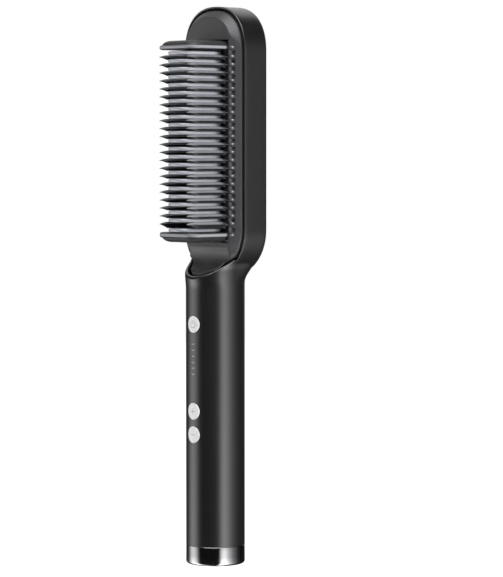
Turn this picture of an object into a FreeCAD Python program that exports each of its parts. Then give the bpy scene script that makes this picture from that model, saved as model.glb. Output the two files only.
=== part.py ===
import FreeCAD, Part
import math
import os

# A hair straightening brush, standing on the end of its handle.
# Millimetres, +Z up, comb towards -Y, origin on the handle's axis in the plane it stands on.

# Whole brush
total_length = 285.0
head_width = 46.8
handle_diameter = 30.2
neck_centre = 171.5
back_proud = 0.3
shell_wall = 2.0
edge_round = 0.8
back_round = 2.4
overrun = 4.0
fillet_limit_share = 0.9

head_radius = head_width / 2
top_centre = total_length - head_radius
handle_radius = handle_diameter / 2
bore_radius = handle_radius - shell_wall
cavity_radius = head_radius - shell_wall
head_back = handle_radius + back_proud

# Fits
slide_gap = 0.2
cover_gap = 0.15
run_gap = 0.05
play = 0.1
thread_gap = 0.02

# Screws: one small size holds the inner pieces, a longer one the covers
small_shank = 0.9
small_head = 1.7
small_head_thick = 1.0
small_bite = 2.2
cover_shank = 1.1
cover_head = 2.0
cover_head_thick = 1.2
cover_bite = 6.0

# Light ring, panel and boards in the back of the head, counted inwards from the back
light_set = 0.1
light_margin = 1.2
light_width = 3.4
light_thick = 1.7
light_foot = 0.7
panel_seat = 0.75
ledge_thick = 1.5
ledge_width = 1.7
light_board_thick = 1.6
light_board_rim = 8.0
led_radius = 1.0
led_spacing = 14.0
shield_thick = 0.4

light_face = head_back - light_set
ledge_seat = light_face - light_thick
ledge_face = ledge_seat - ledge_thick
light_board_back = ledge_face - light_board_thick
shield_back = light_board_back - shield_thick
recess_radius = head_radius - light_margin
light_inner = recess_radius - light_width
opening_radius = recess_radius - ledge_width
led_thick = ledge_thick - light_foot
led_place = opening_radius - led_radius - play

# Heater, stacked on from the shield towards the front
heater_air = 7.9
clamp_thick = 0.8
insulator_thick = 0.4
stone_thick = 2.2
plate_thick = 3.0
plate_lead = 1.2
plate_border = 0.6
stone_count = 3
stone_border = 1.6
stone_space = 1.0
stone_margin = 8.0
insulator_border = 1.0
clamp_boss_radius = 2.0
clamp_screw_inset = 4.0
sensor_radius = 1.2
sensor_length = 4.0
cutout_radius = 1.8
cutout_length = 11.0

clamp_back = shield_back - heater_air
insulator_back = clamp_back - clamp_thick
stone_back = insulator_back - insulator_thick
plate_back = stone_back - stone_thick
plate_front = plate_back - plate_thick

# Front cover: a raised face with a bevelled border, and a scoop that closes the neck
face_rise = 4.5
face_bevel = 3.25
cover_step = 0.5
cover_lip = 0.8
cover_wall = 2.0
cover_skirt = 2.5
scoop_radius = 8.4
scoop_sink = 1.2
scoop_drop = 13.7
cover_boss_radius = 2.6
cover_boss_spread_top = 6.0
cover_boss_spread_low = 8.2
cover_boss_clear = 0.3

face_back = plate_front + plate_lead
face_front = face_back - cover_wall
rim_face = face_front + face_rise
cover_edge = rim_face - cover_step
skirt_back = rim_face + cover_skirt
cover_radius = cavity_radius - cover_gap
face_radius = cover_radius - face_bevel
scoop_axis = face_front + scoop_sink - scoop_radius
scoop_height = neck_centre - scoop_drop
cover_boss_orbit = light_inner - panel_seat - cover_head - cover_boss_clear
cover_boss_rise = math.sqrt(cover_boss_orbit ** 2 - cover_boss_spread_top ** 2)
cover_boss_drop = math.sqrt(cover_boss_orbit ** 2 - cover_boss_spread_low ** 2)

# Neck: the handle widens into the head, and its front is cut off on a slant
fair_radius = 8.0
fair_sink = 0.4
rim_drop = 15.8
rim_slope_share = 0.62
rim_bend = 6.0
fair_section_shares = (0, 0.35, 0.7, 1)

rim_height = neck_centre - rim_drop
fair_reach = head_radius - fair_sink
fair_rise = math.sqrt((fair_radius + fair_reach) ** 2 - (fair_radius + handle_radius) ** 2)
neck_start = neck_centre - fair_rise
neck_end = neck_centre - fair_rise * fair_reach / (fair_reach + fair_radius)

# Comb: guard teeth in two columns, a long bar and a guard plate at each end, metal fins between
tooth_reach = 28.2
tooth_width = 4.0
comb_side = 8.4
tooth_thick = 2.1
tooth_tip = 0.8
tooth_lean = 0.4
tooth_blade = 1.4
tooth_shoulder = 6.5
tooth_foot = 2.5
row_pitch = 4.06
comb_rise = 2.3
comb_drop = 3.0
guard_thick = 4.6
guard_set = 0.4
guard_reach = 22.5
guard_corner = 7.0
guard_inset = 1.0
bar_thick = 2.3
fin_side = 2.0
fin_reach = 28.0
fin_thick = 1.8
fin_corner = 8.0
comb_base = 1.2
comb_land = 0.6
comb_gap = 0.3
comb_margin = 2.6
comb_hem = 1.2
comb_bite = 2.8
comb_screw_inset = 12.0

tooth_outer = head_radius - comb_side
tooth_inner = tooth_outer - tooth_width
fin_half_width = tooth_inner - fin_side
comb_top = top_centre + comb_rise
comb_low = neck_centre - comb_drop
row_count = int((comb_top - comb_low) / row_pitch)
row_heights = [comb_top - row_pitch * row for row in range(row_count)]
fin_heights = [(above + below) / 2 for above, below in zip(row_heights, row_heights[1:] + [comb_low])]
guard_top = comb_top - guard_set + guard_thick
guard_low = comb_low + guard_set - guard_thick
opening_half = tooth_outer + comb_gap
opening_top = guard_top + comb_gap
opening_low = guard_low - comb_gap
base_half = opening_half + comb_margin
base_back = face_back + comb_base
land_front = face_back - comb_land
plate_half = fin_half_width + plate_border
stone_half_width = plate_half - stone_border
plate_top = guard_top - guard_thick - comb_gap
plate_low = guard_low + guard_thick + comb_gap
stone_top = plate_top - stone_margin
stone_low = plate_low + stone_margin
clamp_boss_place = (plate_half + comb_gap + opening_half) / 2
clamp_half = clamp_boss_place + clamp_boss_radius

# Foot of the handle: chrome ring, end cap and the cord's swivel
ring_height = 9.7
ring_round = 1.5
ring_foot_wall = 2.8
ring_ledge_low = 4.0
ring_ledge_thick = 2.0
ring_ledge_wall = 3.5
cap_set = 0.6
collar_share = 0.62
gland_share = 0.52
stem_share = 0.38
cord_share = 0.28
collar_thick = 2.0
stem_top = 24.0
cord_depth = 18.0
retainer_thick = 1.5
slip_wall = 0.8
slip_height = 3.0
slip_low = 10.5
slip_space = 2.5
brush_half = 1.5
brush_thick = 1.6
brush_tail = 3.0

foot_bore = handle_radius - ring_foot_wall
cap_radius = foot_bore - play
ledge_bore = handle_radius - ring_ledge_wall
spigot_radius = ledge_bore - play
collar_radius = collar_share * spigot_radius
gland_radius = gland_share * spigot_radius
stem_radius = stem_share * spigot_radius
cord_radius = cord_share * spigot_radius
collar_low = ring_ledge_low + play
collar_top = collar_low + collar_thick
spigot_top = collar_top + play
retainer_top = spigot_top + retainer_thick
slip_radius = stem_radius + slip_wall
brush_front = slip_radius + play
chamber_radius = brush_front + brush_thick + run_gap
cap_screw_place = (collar_radius + play + spigot_radius) / 2

# Buttons and setting lights on the front of the handle
button_radius = 4.35
button_proud = 0.25
button_flange = 1.05
button_flange_thick = 0.7
button_stem = 0.9
button_travel = 0.6
power_drop = 27.4
plus_drop = 44.4
minus_step = 12.0
switch_half = 2.3
switch_thick = 1.9
switch_well = 1.1
switch_well_depth = 1.0
switch_clear = 0.25
mark_count = 6
mark_half_width = 1.5
mark_height = 1.4
mark_pitch = 3.07
mark_drop = 17.8
window_border = 0.7
window_back = 1.0
pipe_radius = 0.8

power_height = neck_start - power_drop
plus_height = power_height - plus_drop
minus_height = plus_height - minus_step
button_heights = {"power_button": power_height, "plus_button": plus_height, "minus_button": minus_height}
button_hole = button_radius + run_gap
flange_radius = button_radius + button_flange
flange_front = -math.sqrt(bore_radius ** 2 - flange_radius ** 2) + play
flange_back = flange_front + button_flange_thick
switch_front = flange_back + button_travel + switch_clear
mark_middle = power_height - mark_drop
mark_heights = [mark_middle + mark_pitch * (row - (mark_count - 1) / 2) for row in range(mark_count)]

# Control board and the tray that carries it
board_thick = 1.6
board_margin = 11.0
board_edge = 0.25
chassis_wall = 1.5
rail_width = 2.4
board_screw_inset = 1.5
board_screw_margin = 14.0
board_lug_radius = 2.0
board_lug_depth = 4.0
chassis_screw_rise = 12.0
chassis_reach = 6.0
indicator_size = 1.6
indicator_thick = 0.8
chip_half = 3.5
chip_thick = 1.2
chip_space = 12.0
triac_width = 9.0
triac_thick = 4.0
triac_length = 14.0
capacitor_width = 6.5
capacitor_depth = 9.0
capacitor_length = 15.0
fuse_radius = 2.4
fuse_length = 18.0
part_space = 5.0
lead_radius = 0.9
lead_bend = 4.0
heater_lead_place = 3.5
heater_lead_inset = 6.0
lead_pass = 0.9
power_lead_inset = 5.0

lead_pass_half = heater_lead_place + lead_radius + lead_pass
board_front = switch_front + switch_thick
board_back = board_front + board_thick
board_half = math.sqrt(bore_radius ** 2 - board_front ** 2) - board_edge
board_low = minus_height - board_margin - chip_space - 2 * chip_half
board_high = power_height + board_margin
board_screw_place = board_half - small_head - board_screw_inset
chassis_radius = bore_radius - slide_gap
trough_half = board_half - rail_width
tray_low = stem_top + brush_tail
chassis_high = board_high + chassis_screw_rise


def point(x, y, z):
    return FreeCAD.Vector(x, y, z)


def block(half_width, y_range, z_range, middle=0):
    """Box centred across the width, between two limits in depth and in height."""
    corner = point(middle - half_width, y_range[0], z_range[0])
    return Part.makeBox(2 * half_width, y_range[1] - y_range[0], z_range[1] - z_range[0], corner)


def post(radius, low, high, x=0, y=0):
    """Upright cylinder."""
    return Part.makeCylinder(radius, high - low, point(x, y, low))


def peg(radius, front, back, x, z):
    """Cylinder that runs from front to back."""
    return Part.makeCylinder(radius, back - front, point(x, front, z), point(0, 1, 0))


def group(shapes):
    return Part.makeCompound(list(shapes))


def stadium_wire(radius, y):
    """Outline of the head at one depth: two half circles and two straight sides."""
    high_right, high_left = point(radius, y, top_centre), point(-radius, y, top_centre)
    low_left, low_right = point(-radius, y, neck_centre), point(radius, y, neck_centre)
    return Part.Wire([
        Part.Arc(high_right, point(0, y, top_centre + radius), high_left).toShape(),
        Part.LineSegment(high_left, low_left).toShape(),
        Part.Arc(low_left, point(0, y, neck_centre - radius), low_right).toShape(),
        Part.LineSegment(low_right, high_right).toShape(),
    ])


def stadium(radius, front, back):
    return Part.Face(stadium_wire(radius, front)).extrude(point(0, back - front, 0))


def side_prism(edges, half_width):
    """Solid of a closed side outline, drawn at x = 0, spread to both sides."""
    face = Part.Face(Part.Wire(edges))
    face.translate(point(-half_width, 0, 0))
    return face.extrude(point(2 * half_width, 0, 0))


def side_lines(corners):
    """Straight edges through corners given as depth and height."""
    places = [point(0, y, z) for y, z in corners]
    return [Part.LineSegment(a, b).toShape() for a, b in zip(places, places[1:])]


def rounded_box(half_width, front, back, z_range, corner):
    """Plate whose two front corners, seen from above, are rounded."""
    plate = block(half_width, (front, back), z_range)
    edges = [edge for edge in plate.Edges if all(abs(v.Y - front) < play for v in edge.Vertexes)
             and abs(edge.Vertexes[0].X - edge.Vertexes[-1].X) < play]
    return plate.makeFillet(min(corner, fillet_limit_share * half_width), edges)


def screw(x, z, seat, bite, shank, head, head_thick):
    """Screw driven towards the front: head on the seat, shank ahead of it."""
    return peg(head, seat, seat + head_thick, x, z).fuse(peg(shank, seat - bite, seat, x, z))


def neck_section(height, inset):
    """Ellipse that widens along the fairing's arc."""
    rise = height - neck_start
    half_width = handle_radius + fair_radius - math.sqrt(fair_radius ** 2 - rise ** 2)
    outline = Part.Ellipse(point(0, 0, height), half_width - inset, handle_radius - inset)
    return Part.Wire(outline.toShape())


def handle_and_neck(inset, low):
    """Round handle and the fairing above it, drawn in by an inset."""
    heights = [neck_start + share * (neck_end - neck_start) for share in fair_section_shares]
    fairing = Part.makeLoft([neck_section(height, inset) for height in heights], True)
    return post(handle_radius - inset, low, neck_start).fuse(fairing)


def rim_line(y, drop=0):
    """Height of the slanted neck rim at one depth."""
    return rim_height + rim_slope_share * (y - rim_face) - drop * math.hypot(1, rim_slope_share)


def rim_cut():
    """Everything ahead of the head's face and above the slanted neck rim."""
    far = -handle_radius - overrun
    over = total_length + overrun
    corners = [(rim_face, rim_height), (far, rim_line(far)), (far, over), (rim_face, over),
               (rim_face, rim_height)]
    tool = side_prism(side_lines(corners), head_width)
    bend = [edge for edge in tool.Edges
            if all(abs(v.Y - rim_face) < play and abs(v.Z - rim_height) < play for v in edge.Vertexes)]
    return tool.makeFillet(rim_bend, bend)


def cover_screw_places():
    """Two screws above the comb and two below it, as x and height."""
    high = top_centre + cover_boss_rise
    low = neck_centre - cover_boss_drop
    return [(side * cover_boss_spread_top, high) for side in (-1, 1)] + [
        (side * cover_boss_spread_low, low) for side in (-1, 1)]


def body_shell():
    """One moulding: handle tube and head tub, with a stepped opening for the light ring."""
    head = stadium(head_radius, rim_face, head_back)
    for radius, y in ((edge_round, rim_face), (back_round, head_back)):
        rims = [edge for edge in head.Edges
                if edge.BoundBox.YLength < play and abs(edge.BoundBox.Center.y - y) < play]
        head = head.makeFillet(radius, rims)
    shell = handle_and_neck(0, ring_height).fuse(head)
    shell = shell.cut(handle_and_neck(shell_wall, ring_height - overrun))
    shell = shell.cut(stadium(cavity_radius, rim_face - overrun, ledge_face))
    shell = shell.cut(stadium(recess_radius, ledge_seat, head_back + overrun))
    shell = shell.cut(stadium(opening_radius, ledge_face - overrun, ledge_seat + overrun))
    shell = shell.cut(rim_cut())
    front = -handle_radius - overrun
    for height in button_heights.values():
        shell = shell.cut(peg(button_hole, front, board_front, 0, height))
    for height in mark_heights:
        shell = shell.cut(mark_bar(height, front, board_front))
    bite = chassis_screw_tip()
    return shell.cut(peg(small_shank + thread_gap, 0, bite, 0, chassis_screw_height()))


def mark_bar(height, front, back):
    return block(mark_half_width, (front, back), (height - mark_height / 2, height + mark_height / 2))


def barrel(radius):
    """Cylinder across the neck, about the scoop's axis."""
    end = point(-head_width, scoop_axis, scoop_height)
    return Part.makeCylinder(radius, 2 * head_width, end, point(1, 0, 0))


def neck_room():
    """Everything below the cover's lip, which runs along the slanted neck rim."""
    far = -handle_radius - overrun
    low = scoop_height - scoop_radius - cover_wall - overrun
    corners = [(far, low), (rim_face, low), (rim_face, rim_line(rim_face, -cover_lip)),
               (far, rim_line(far, -cover_lip)), (far, low)]
    return side_prism(side_lines(corners), head_width)


def front_cover():
    """Raised face with a bevelled border and a skirt, comb opening, scoop at the neck, screw bosses."""
    form = stadium(cover_radius, cover_edge, skirt_back)
    form = form.fuse(Part.makeLoft([stadium_wire(cover_radius, cover_edge),
                                    stadium_wire(face_radius, face_front)], True, True))
    hollow = stadium(cover_radius - cover_wall, cover_edge, skirt_back + overrun)
    hollow = hollow.fuse(Part.makeLoft([stadium_wire(cover_radius - cover_wall, cover_edge),
                                        stadium_wire(base_half + slide_gap, face_back)], True, True))
    wall = barrel(scoop_radius + cover_wall)
    neck = handle_and_neck(shell_wall + cover_gap, ring_height).common(neck_room()).common(wall)
    cover = form.cut(hollow).fuse([form.common(wall), neck])
    cover = cover.cut(block(lead_pass_half, (scoop_axis + scoop_radius + cover_wall, skirt_back + overrun),
                            (neck_centre - head_radius, scoop_height)))
    cover = cover.cut(block(opening_half, (face_front - overrun, face_back + overrun),
                            (opening_low, opening_top)))
    bosses = [peg(cover_boss_radius, face_back - cover_wall / 2, shield_back, x, z)
              for x, z in cover_screw_places()]
    cover = cover.fuse(bosses).cut(barrel(scoop_radius))
    for x, z in cover_screw_places():
        cover = cover.cut(peg(cover_shank + thread_gap, shield_back - cover_bite, head_back, x, z))
    for x, z in comb_screw_places():
        cover = cover.cut(peg(small_shank + thread_gap, base_back - comb_bite, base_back, x, z))
    return cover.removeSplitter()


def comb_screw_places():
    """Corners of the comb's base, outside the cover's opening, as x and height."""
    x = opening_half + comb_margin / 2
    heights = (opening_low + comb_screw_inset, opening_top - comb_screw_inset)
    return [(side * x, z) for side in (-1, 1) for z in heights]


def clamp_screw_places():
    heights = (stone_low + clamp_screw_inset, stone_top - clamp_screw_inset)
    return [(side * clamp_boss_place, z) for side in (-1, 1) for z in heights]


def guard_tooth(side, height):
    """Slender blade that leans in to a narrow tip, on a foot that flares outwards."""
    tip_middle = tooth_inner - tooth_lean
    blade_edge = tooth_inner + tooth_blade
    outline = [(tooth_inner, land_front), (tip_middle - tooth_tip / 2, -tooth_reach),
               (tip_middle + tooth_tip / 2, -tooth_reach), (blade_edge, -tooth_reach + tooth_shoulder),
               (blade_edge, land_front - tooth_foot), (tooth_outer, land_front)]
    corners = [point(side * x, y, height - tooth_thick / 2) for x, y in outline]
    face = Part.Face(Part.makePolygon(corners + corners[:1]))
    return face.extrude(point(0, 0, tooth_thick))


def comb_frame():
    """One moulding behind the cover: base, raised land, end bars and guards, two columns of teeth."""
    window = block(plate_half + comb_gap, (land_front - overrun, base_back + overrun),
                   (plate_low - comb_gap, plate_top + comb_gap))
    frame = block(base_half, (face_back, base_back), (opening_low - comb_hem, opening_top + comb_hem))
    frame = frame.common(stadium(base_half, face_back, base_back))
    frame = frame.fuse(block(opening_half - comb_gap, (land_front, face_back), (guard_low, guard_top)))
    frame = frame.cut(window)
    guards = [rounded_box(tooth_outer - guard_inset, -guard_reach, land_front, z_range, guard_corner)
              for z_range in ((guard_top - guard_thick, guard_top), (guard_low, guard_low + guard_thick))]
    high, low = guard_top - guard_thick, guard_low + guard_thick
    bars = [rounded_box(tooth_outer, -tooth_reach, land_front, z_range, guard_corner)
            for z_range in ((high, high + bar_thick), (low - bar_thick, low))]
    teeth = [guard_tooth(side, height) for side in (-1, 1) for height in row_heights[1:]]
    bosses = [peg(clamp_boss_radius, base_back, insulator_back, x, z) for x, z in clamp_screw_places()]
    frame = frame.fuse(guards + bars + teeth + bosses)
    for x, z in comb_screw_places():
        frame = frame.cut(peg(small_shank + play, face_back - overrun, base_back + overrun, x, z))
    for x, z in clamp_screw_places():
        frame = frame.cut(peg(small_shank + thread_gap, insulator_back - small_bite, insulator_back, x, z))
    return frame


def heating_plate():
    return block(plate_half, (plate_front, plate_back), (plate_low, plate_top))


def heating_fins():
    """Metal teeth with rounded front corners, standing on the plate."""
    return group(rounded_box(fin_half_width, -fin_reach, plate_front,
                             (height - fin_thick / 2, height + fin_thick / 2), fin_corner)
                 for height in fin_heights)


def ptc_heaters():
    """Ceramic stones in a row behind the plate."""
    step = (stone_top - stone_low + stone_space) / stone_count
    return group(block(stone_half_width, (plate_back, stone_back),
                       (stone_low + step * row, stone_low + step * (row + 1) - stone_space))
                 for row in range(stone_count))


def heater_insulator():
    return block(stone_half_width + insulator_border, (stone_back, insulator_back), (stone_low, stone_top))


def heater_clamp():
    """Steel plate that presses the stones to the heating plate."""
    clamp = block(clamp_half, (insulator_back, clamp_back), (stone_low, stone_top))
    for x, z in clamp_screw_places():
        clamp = clamp.cut(peg(small_shank + play, insulator_back - overrun, clamp_back + overrun, x, z))
    return clamp


def clamp_screws():
    bite = small_bite + clamp_thick
    return group(screw(x, z, clamp_back, bite, small_shank, small_head, small_head_thick)
                 for x, z in clamp_screw_places())


def comb_screws():
    return group(screw(x, z, base_back, comb_bite, small_shank, small_head, small_head_thick)
                 for x, z in comb_screw_places())


def thermistor():
    """Bead that lies across the lower end of the plate."""
    middle = point(-sensor_length / 2, plate_back + sensor_radius, (plate_low + stone_low) / 2)
    return Part.makeCylinder(sensor_radius, sensor_length, middle, point(1, 0, 0))


def thermal_fuse():
    """One-shot cut-out that lies across the upper end of the plate."""
    middle = point(-cutout_length / 2, plate_back + cutout_radius, (plate_top + stone_top) / 2)
    return Part.makeCylinder(cutout_radius, cutout_length, middle, point(1, 0, 0))


def cover_screw_holes(shape, radius):
    for x, z in cover_screw_places():
        shape = shape.cut(peg(radius, shield_back - overrun, ledge_face + overrun, x, z))
    return shape


def light_board():
    """Ring-shaped board behind the ledge, with lugs for the cover screws."""
    board = stadium(cavity_radius - slide_gap, light_board_back, ledge_face)
    hollow = stadium(cavity_radius - slide_gap - light_board_rim, light_board_back - overrun,
                     ledge_face + overrun)
    return cover_screw_holes(board.cut(hollow), cover_shank + play)


def heat_shield():
    """Mica sheet between the heater and the light board."""
    sheet = stadium(cavity_radius - slide_gap, shield_back, light_board_back)
    return cover_screw_holes(sheet, cover_shank + play)


def cover_screws():
    bite = cover_bite + ledge_face - shield_back
    return group(screw(x, z, ledge_face, bite, cover_shank, cover_head, cover_head_thick)
                 for x, z in cover_screw_places())


def ring_leds():
    """Lights under the light ring: two straight rows and a half circle at each end."""
    rows = int((top_centre - neck_centre) / led_spacing) + 1
    step = (top_centre - neck_centre) / (rows - 1)
    places = [(side * led_place, neck_centre + step * row) for side in (-1, 1) for row in range(rows)]
    turns = int(math.pi * led_place / led_spacing)
    for turn in range(1, turns):
        angle = math.pi * turn / turns
        across = led_place * math.cos(angle)
        along = led_place * math.sin(angle)
        places += [(across, top_centre + along), (across, neck_centre - along)]
    return group(peg(led_radius, ledge_face, ledge_face + led_thick, x, z) for x, z in places)


def light_ring():
    """Clear guide round the back; its foot takes the light in and carries the panel."""
    ring = stadium(recess_radius - play, ledge_seat, light_face)
    ring = ring.fuse(stadium(opening_radius - play, ledge_seat - light_foot, ledge_seat))
    ring = ring.cut(stadium(light_inner, ledge_seat, light_face + overrun))
    return ring.cut(stadium(light_inner - panel_seat, ledge_face, light_face + overrun))


def back_panel():
    return stadium(light_inner - play, ledge_seat, light_face)


def chassis_screw_height():
    return board_high + chassis_screw_rise / 2


def chassis_screw_tip():
    return chassis_radius - chassis_wall + small_bite + small_shank


def chassis():
    """Tray that slides into the handle: foot round the swivel, side rails, screw tab at the top."""
    foot = post(chassis_radius, retainer_top, tray_low)
    foot = foot.cut(post(chamber_radius, retainer_top - overrun, tray_low + overrun))
    tray = post(chassis_radius, tray_low, board_high)
    tray = tray.common(block(bore_radius, (board_back, bore_radius), (tray_low, board_high)))
    deep = math.sqrt((chassis_radius - chassis_wall) ** 2 - trough_half ** 2)
    hollow = block(trough_half, (board_back - overrun, deep), (tray_low - overrun, board_high + overrun))
    tab = post(chassis_radius, board_high, chassis_high)
    tab = tab.common(block(chassis_reach, (deep, bore_radius), (board_high, chassis_high)))
    tab = tab.cut(post(chassis_radius - chassis_wall, board_high - overrun, chassis_high + overrun))
    lugs = [peg(board_lug_radius, board_back, board_back + board_lug_depth, x, z)
            for x, z in board_screw_places()]
    body = foot.fuse([tray.cut(hollow), tab] + lugs)
    for side in (-1, 1):
        body = body.cut(post(cover_shank + thread_gap, retainer_top - overrun, cap_screw_tip(),
                             side * cap_screw_place))
    for x, z in board_screw_places():
        body = body.cut(peg(small_shank + thread_gap, board_back, board_back + small_bite, x, z))
    return body.cut(peg(small_shank + play, 0, bore_radius, 0, chassis_screw_height()))


def chassis_screw():
    """Fixes the tray's tab to the inside of the handle's back."""
    seat = math.sqrt((chassis_radius - chassis_wall) ** 2 - small_head ** 2)
    tip = chassis_screw_tip()
    z = chassis_screw_height()
    return peg(small_head, seat - small_head_thick, seat, 0, z).fuse(peg(small_shank, seat, tip, 0, z))


def board_screw_places():
    heights = (board_low + board_screw_margin, board_high - board_screw_margin)
    return [(side * board_screw_place, z) for side in (-1, 1) for z in heights]


def control_board():
    board = block(board_half, (board_front, board_back), (board_low, board_high))
    for x, z in board_screw_places():
        board = board.cut(peg(small_shank + play, board_front - overrun, board_back + overrun, x, z))
    return board


def board_screws():
    """Driven from the front into the tray's rails."""
    reach = board_back + small_bite
    return group(peg(small_head, board_front - small_head_thick, board_front, x, z).fuse(
        peg(small_shank, board_front, reach, x, z)) for x, z in board_screw_places())


def tact_switches():
    """One under each button, with a well that the button's stem works in."""
    shapes = []
    for height in button_heights.values():
        body = block(switch_half, (switch_front, board_front), (height - switch_half, height + switch_half))
        shapes.append(body.cut(peg(switch_well, switch_front - overrun,
                                   switch_front + switch_well_depth, 0, height)))
    return group(shapes)


def push_button(height):
    """Cap that follows the handle's round, flange behind the wall, stem in the switch."""
    cap = peg(button_radius, -handle_radius - overrun, flange_front, 0, height)
    crown = post(handle_radius + button_proud, height - button_hole, height + button_hole)
    cap = cap.common(crown)
    flange = peg(flange_radius, flange_front, flange_back, 0, height)
    stem_end = switch_front + switch_well_depth - button_travel - play
    stem = peg(button_stem, flange_back, stem_end, 0, height)
    return cap.fuse([flange, stem])


def indicator_window():
    """Clear bars in the handle's wall on one strip, with a pipe down to each light."""
    strip_half = mark_half_width + window_border
    strip_face = -math.sqrt(bore_radius ** 2 - strip_half ** 2) + play
    ends = mark_height / 2 + window_border
    strip = block(strip_half, (strip_face, strip_face + window_back),
                  (mark_heights[0] - ends, mark_heights[-1] + ends))
    skin = post(handle_radius, mark_heights[0] - ends, mark_heights[-1] + ends)
    pieces = []
    for height in mark_heights:
        bar = block(mark_half_width - run_gap, (-handle_radius, strip_face),
                    (height - mark_height / 2 + run_gap, height + mark_height / 2 - run_gap))
        pieces.append(bar.common(skin))
        pieces.append(peg(pipe_radius, strip_face, board_front - indicator_thick - play, 0, height))
    return strip.fuse(pieces)


def indicator_leds():
    half = indicator_size / 2
    return group(block(half, (board_front - indicator_thick, board_front), (z - half, z + half))
                 for z in mark_heights)


def microcontroller():
    middle = minus_height - chip_space
    return block(chip_half, (board_front - chip_thick, board_front), (middle - chip_half, middle + chip_half))


def stack_heights():
    """Lower ends of the fuse, triac and capacitor, stacked up the back of the board."""
    fuse_low = minus_height - chip_space
    triac_low = fuse_low + fuse_length + part_space
    return fuse_low, triac_low, triac_low + triac_length + part_space


def fuse():
    low = stack_heights()[0]
    return post(fuse_radius, low, low + fuse_length, 0, board_back + fuse_radius)


def triac():
    low = stack_heights()[1]
    return block(triac_width / 2, (board_back, board_back + triac_thick), (low, low + triac_length))


def film_capacitor():
    low = stack_heights()[2]
    depth = (board_back, board_back + capacitor_depth)
    return block(capacitor_width / 2, depth, (low, low + capacitor_length))


def bent_lead(x, upright_y, start, z_bend):
    """Upright wire, one bend of a quarter circle, then level forward to the board's back."""
    direction = 1 if z_bend > start else -1
    corner = z_bend - direction * lead_bend
    turn = lead_bend * math.sqrt(0.5)
    mid = point(x, upright_y - lead_bend + turn, corner + direction * turn)
    path = Part.Wire([
        Part.LineSegment(point(x, upright_y, start), point(x, upright_y, corner)).toShape(),
        Part.Arc(point(x, upright_y, corner), mid, point(x, upright_y - lead_bend, z_bend)).toShape(),
        Part.LineSegment(point(x, upright_y - lead_bend, z_bend), point(x, board_back, z_bend)).toShape(),
    ])
    circle = Part.Wire(Part.Circle(point(x, upright_y, start), point(0, 0, 1), lead_radius).toShape())
    return path.makePipeShell([circle], True, False)


def heater_leads():
    """From the back of the board, up through the neck, to the lowest stone."""
    bend = board_high - heater_lead_inset
    upright = plate_back + stone_thick / 2
    return group(bent_lead(side * heater_lead_place, upright, stone_low, bend) for side in (-1, 1))


def power_leads():
    """From the swivel's spring contacts up to the lower end of the board."""
    bend = board_low + power_lead_inset
    place = chamber_radius - lead_radius - play
    return group(bent_lead(side * place, 0, brush_top(), bend) for side in (-1, 1))


def end_ring():
    """Chrome ring with an inner ledge that the end cap draws up against the handle."""
    ring = Part.makeCylinder(handle_radius, ring_height)
    foot = [edge for edge in ring.Edges if edge.BoundBox.ZMax < play]
    ring = ring.makeFillet(ring_round, foot)
    ledge_high = ring_ledge_low + ring_ledge_thick
    ring = ring.cut(post(foot_bore, -overrun, ring_ledge_low))
    ring = ring.cut(post(ledge_bore, -overrun, ring_height + overrun))
    return ring.cut(post(bore_radius, ledge_high, ring_height + overrun))


def cap_screw_tip():
    return retainer_top + cover_bite


def end_cap():
    """Plug from below: disc under the ring's ledge, cup for the swivel, two sunk screws."""
    cap = post(cap_radius, cap_set, ring_ledge_low).fuse(post(spigot_radius, ring_ledge_low, spigot_top))
    cap = cap.cut(post(gland_radius + run_gap, -overrun, spigot_top + overrun))
    cap = cap.cut(post(collar_radius + play, ring_ledge_low, spigot_top + overrun))
    for side in (-1, 1):
        x = side * cap_screw_place
        cap = cap.cut(post(cover_shank + play, cap_set - overrun, spigot_top + overrun, x))
        cap = cap.cut(post(cover_head + play, cap_set - overrun, cap_set + cover_head_thick, x))
    return cap


def cap_screws():
    """Up through the cap and the retainer into the tray's foot."""
    seat = cap_set + cover_head_thick
    return group(post(cover_head, cap_set, seat, side * cap_screw_place).fuse(
        post(cover_shank, seat, cap_screw_tip(), side * cap_screw_place)) for side in (-1, 1))


def swivel_gland():
    """Turning gland: nose through the cap, collar in its cup, stem for the slip rings, blind cord bore."""
    gland = post(gland_radius, 0, collar_low).fuse([post(collar_radius, collar_low, collar_top),
                                                    post(stem_radius, collar_top, stem_top)])
    return gland.cut(post(cord_radius, -overrun, cord_depth))


def swivel_retainer():
    """Plate on the cap's cup that keeps the gland's collar down."""
    plate = post(spigot_radius, spigot_top, retainer_top)
    plate = plate.cut(post(stem_radius + play, spigot_top - overrun, retainer_top + overrun))
    for side in (-1, 1):
        plate = plate.cut(post(cover_shank + play, spigot_top - overrun, retainer_top + overrun,
                               side * cap_screw_place))
    return plate


def slip_heights():
    return [slip_low, slip_low + slip_height + slip_space]


def brush_top():
    return slip_heights()[-1] + slip_height + brush_tail


def swivel_contacts():
    """Two brass slip rings on the gland's stem."""
    return group(post(slip_radius, low, low + slip_height).cut(
        post(stem_radius, low - overrun, low + slip_height + overrun)) for low in slip_heights())


def swivel_brushes():
    """Spring contacts on the tray's foot, one for each slip ring."""
    room = post(chamber_radius - run_gap, 0, stem_top)
    shapes = []
    for side, low in zip((-1, 1), slip_heights()):
        middle = side * (brush_front + brush_thick / 2)
        leaf = block(brush_thick / 2, (-brush_half, brush_half), (low, brush_top()), middle)
        shapes.append(leaf.common(room))
    return group(shapes)


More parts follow.
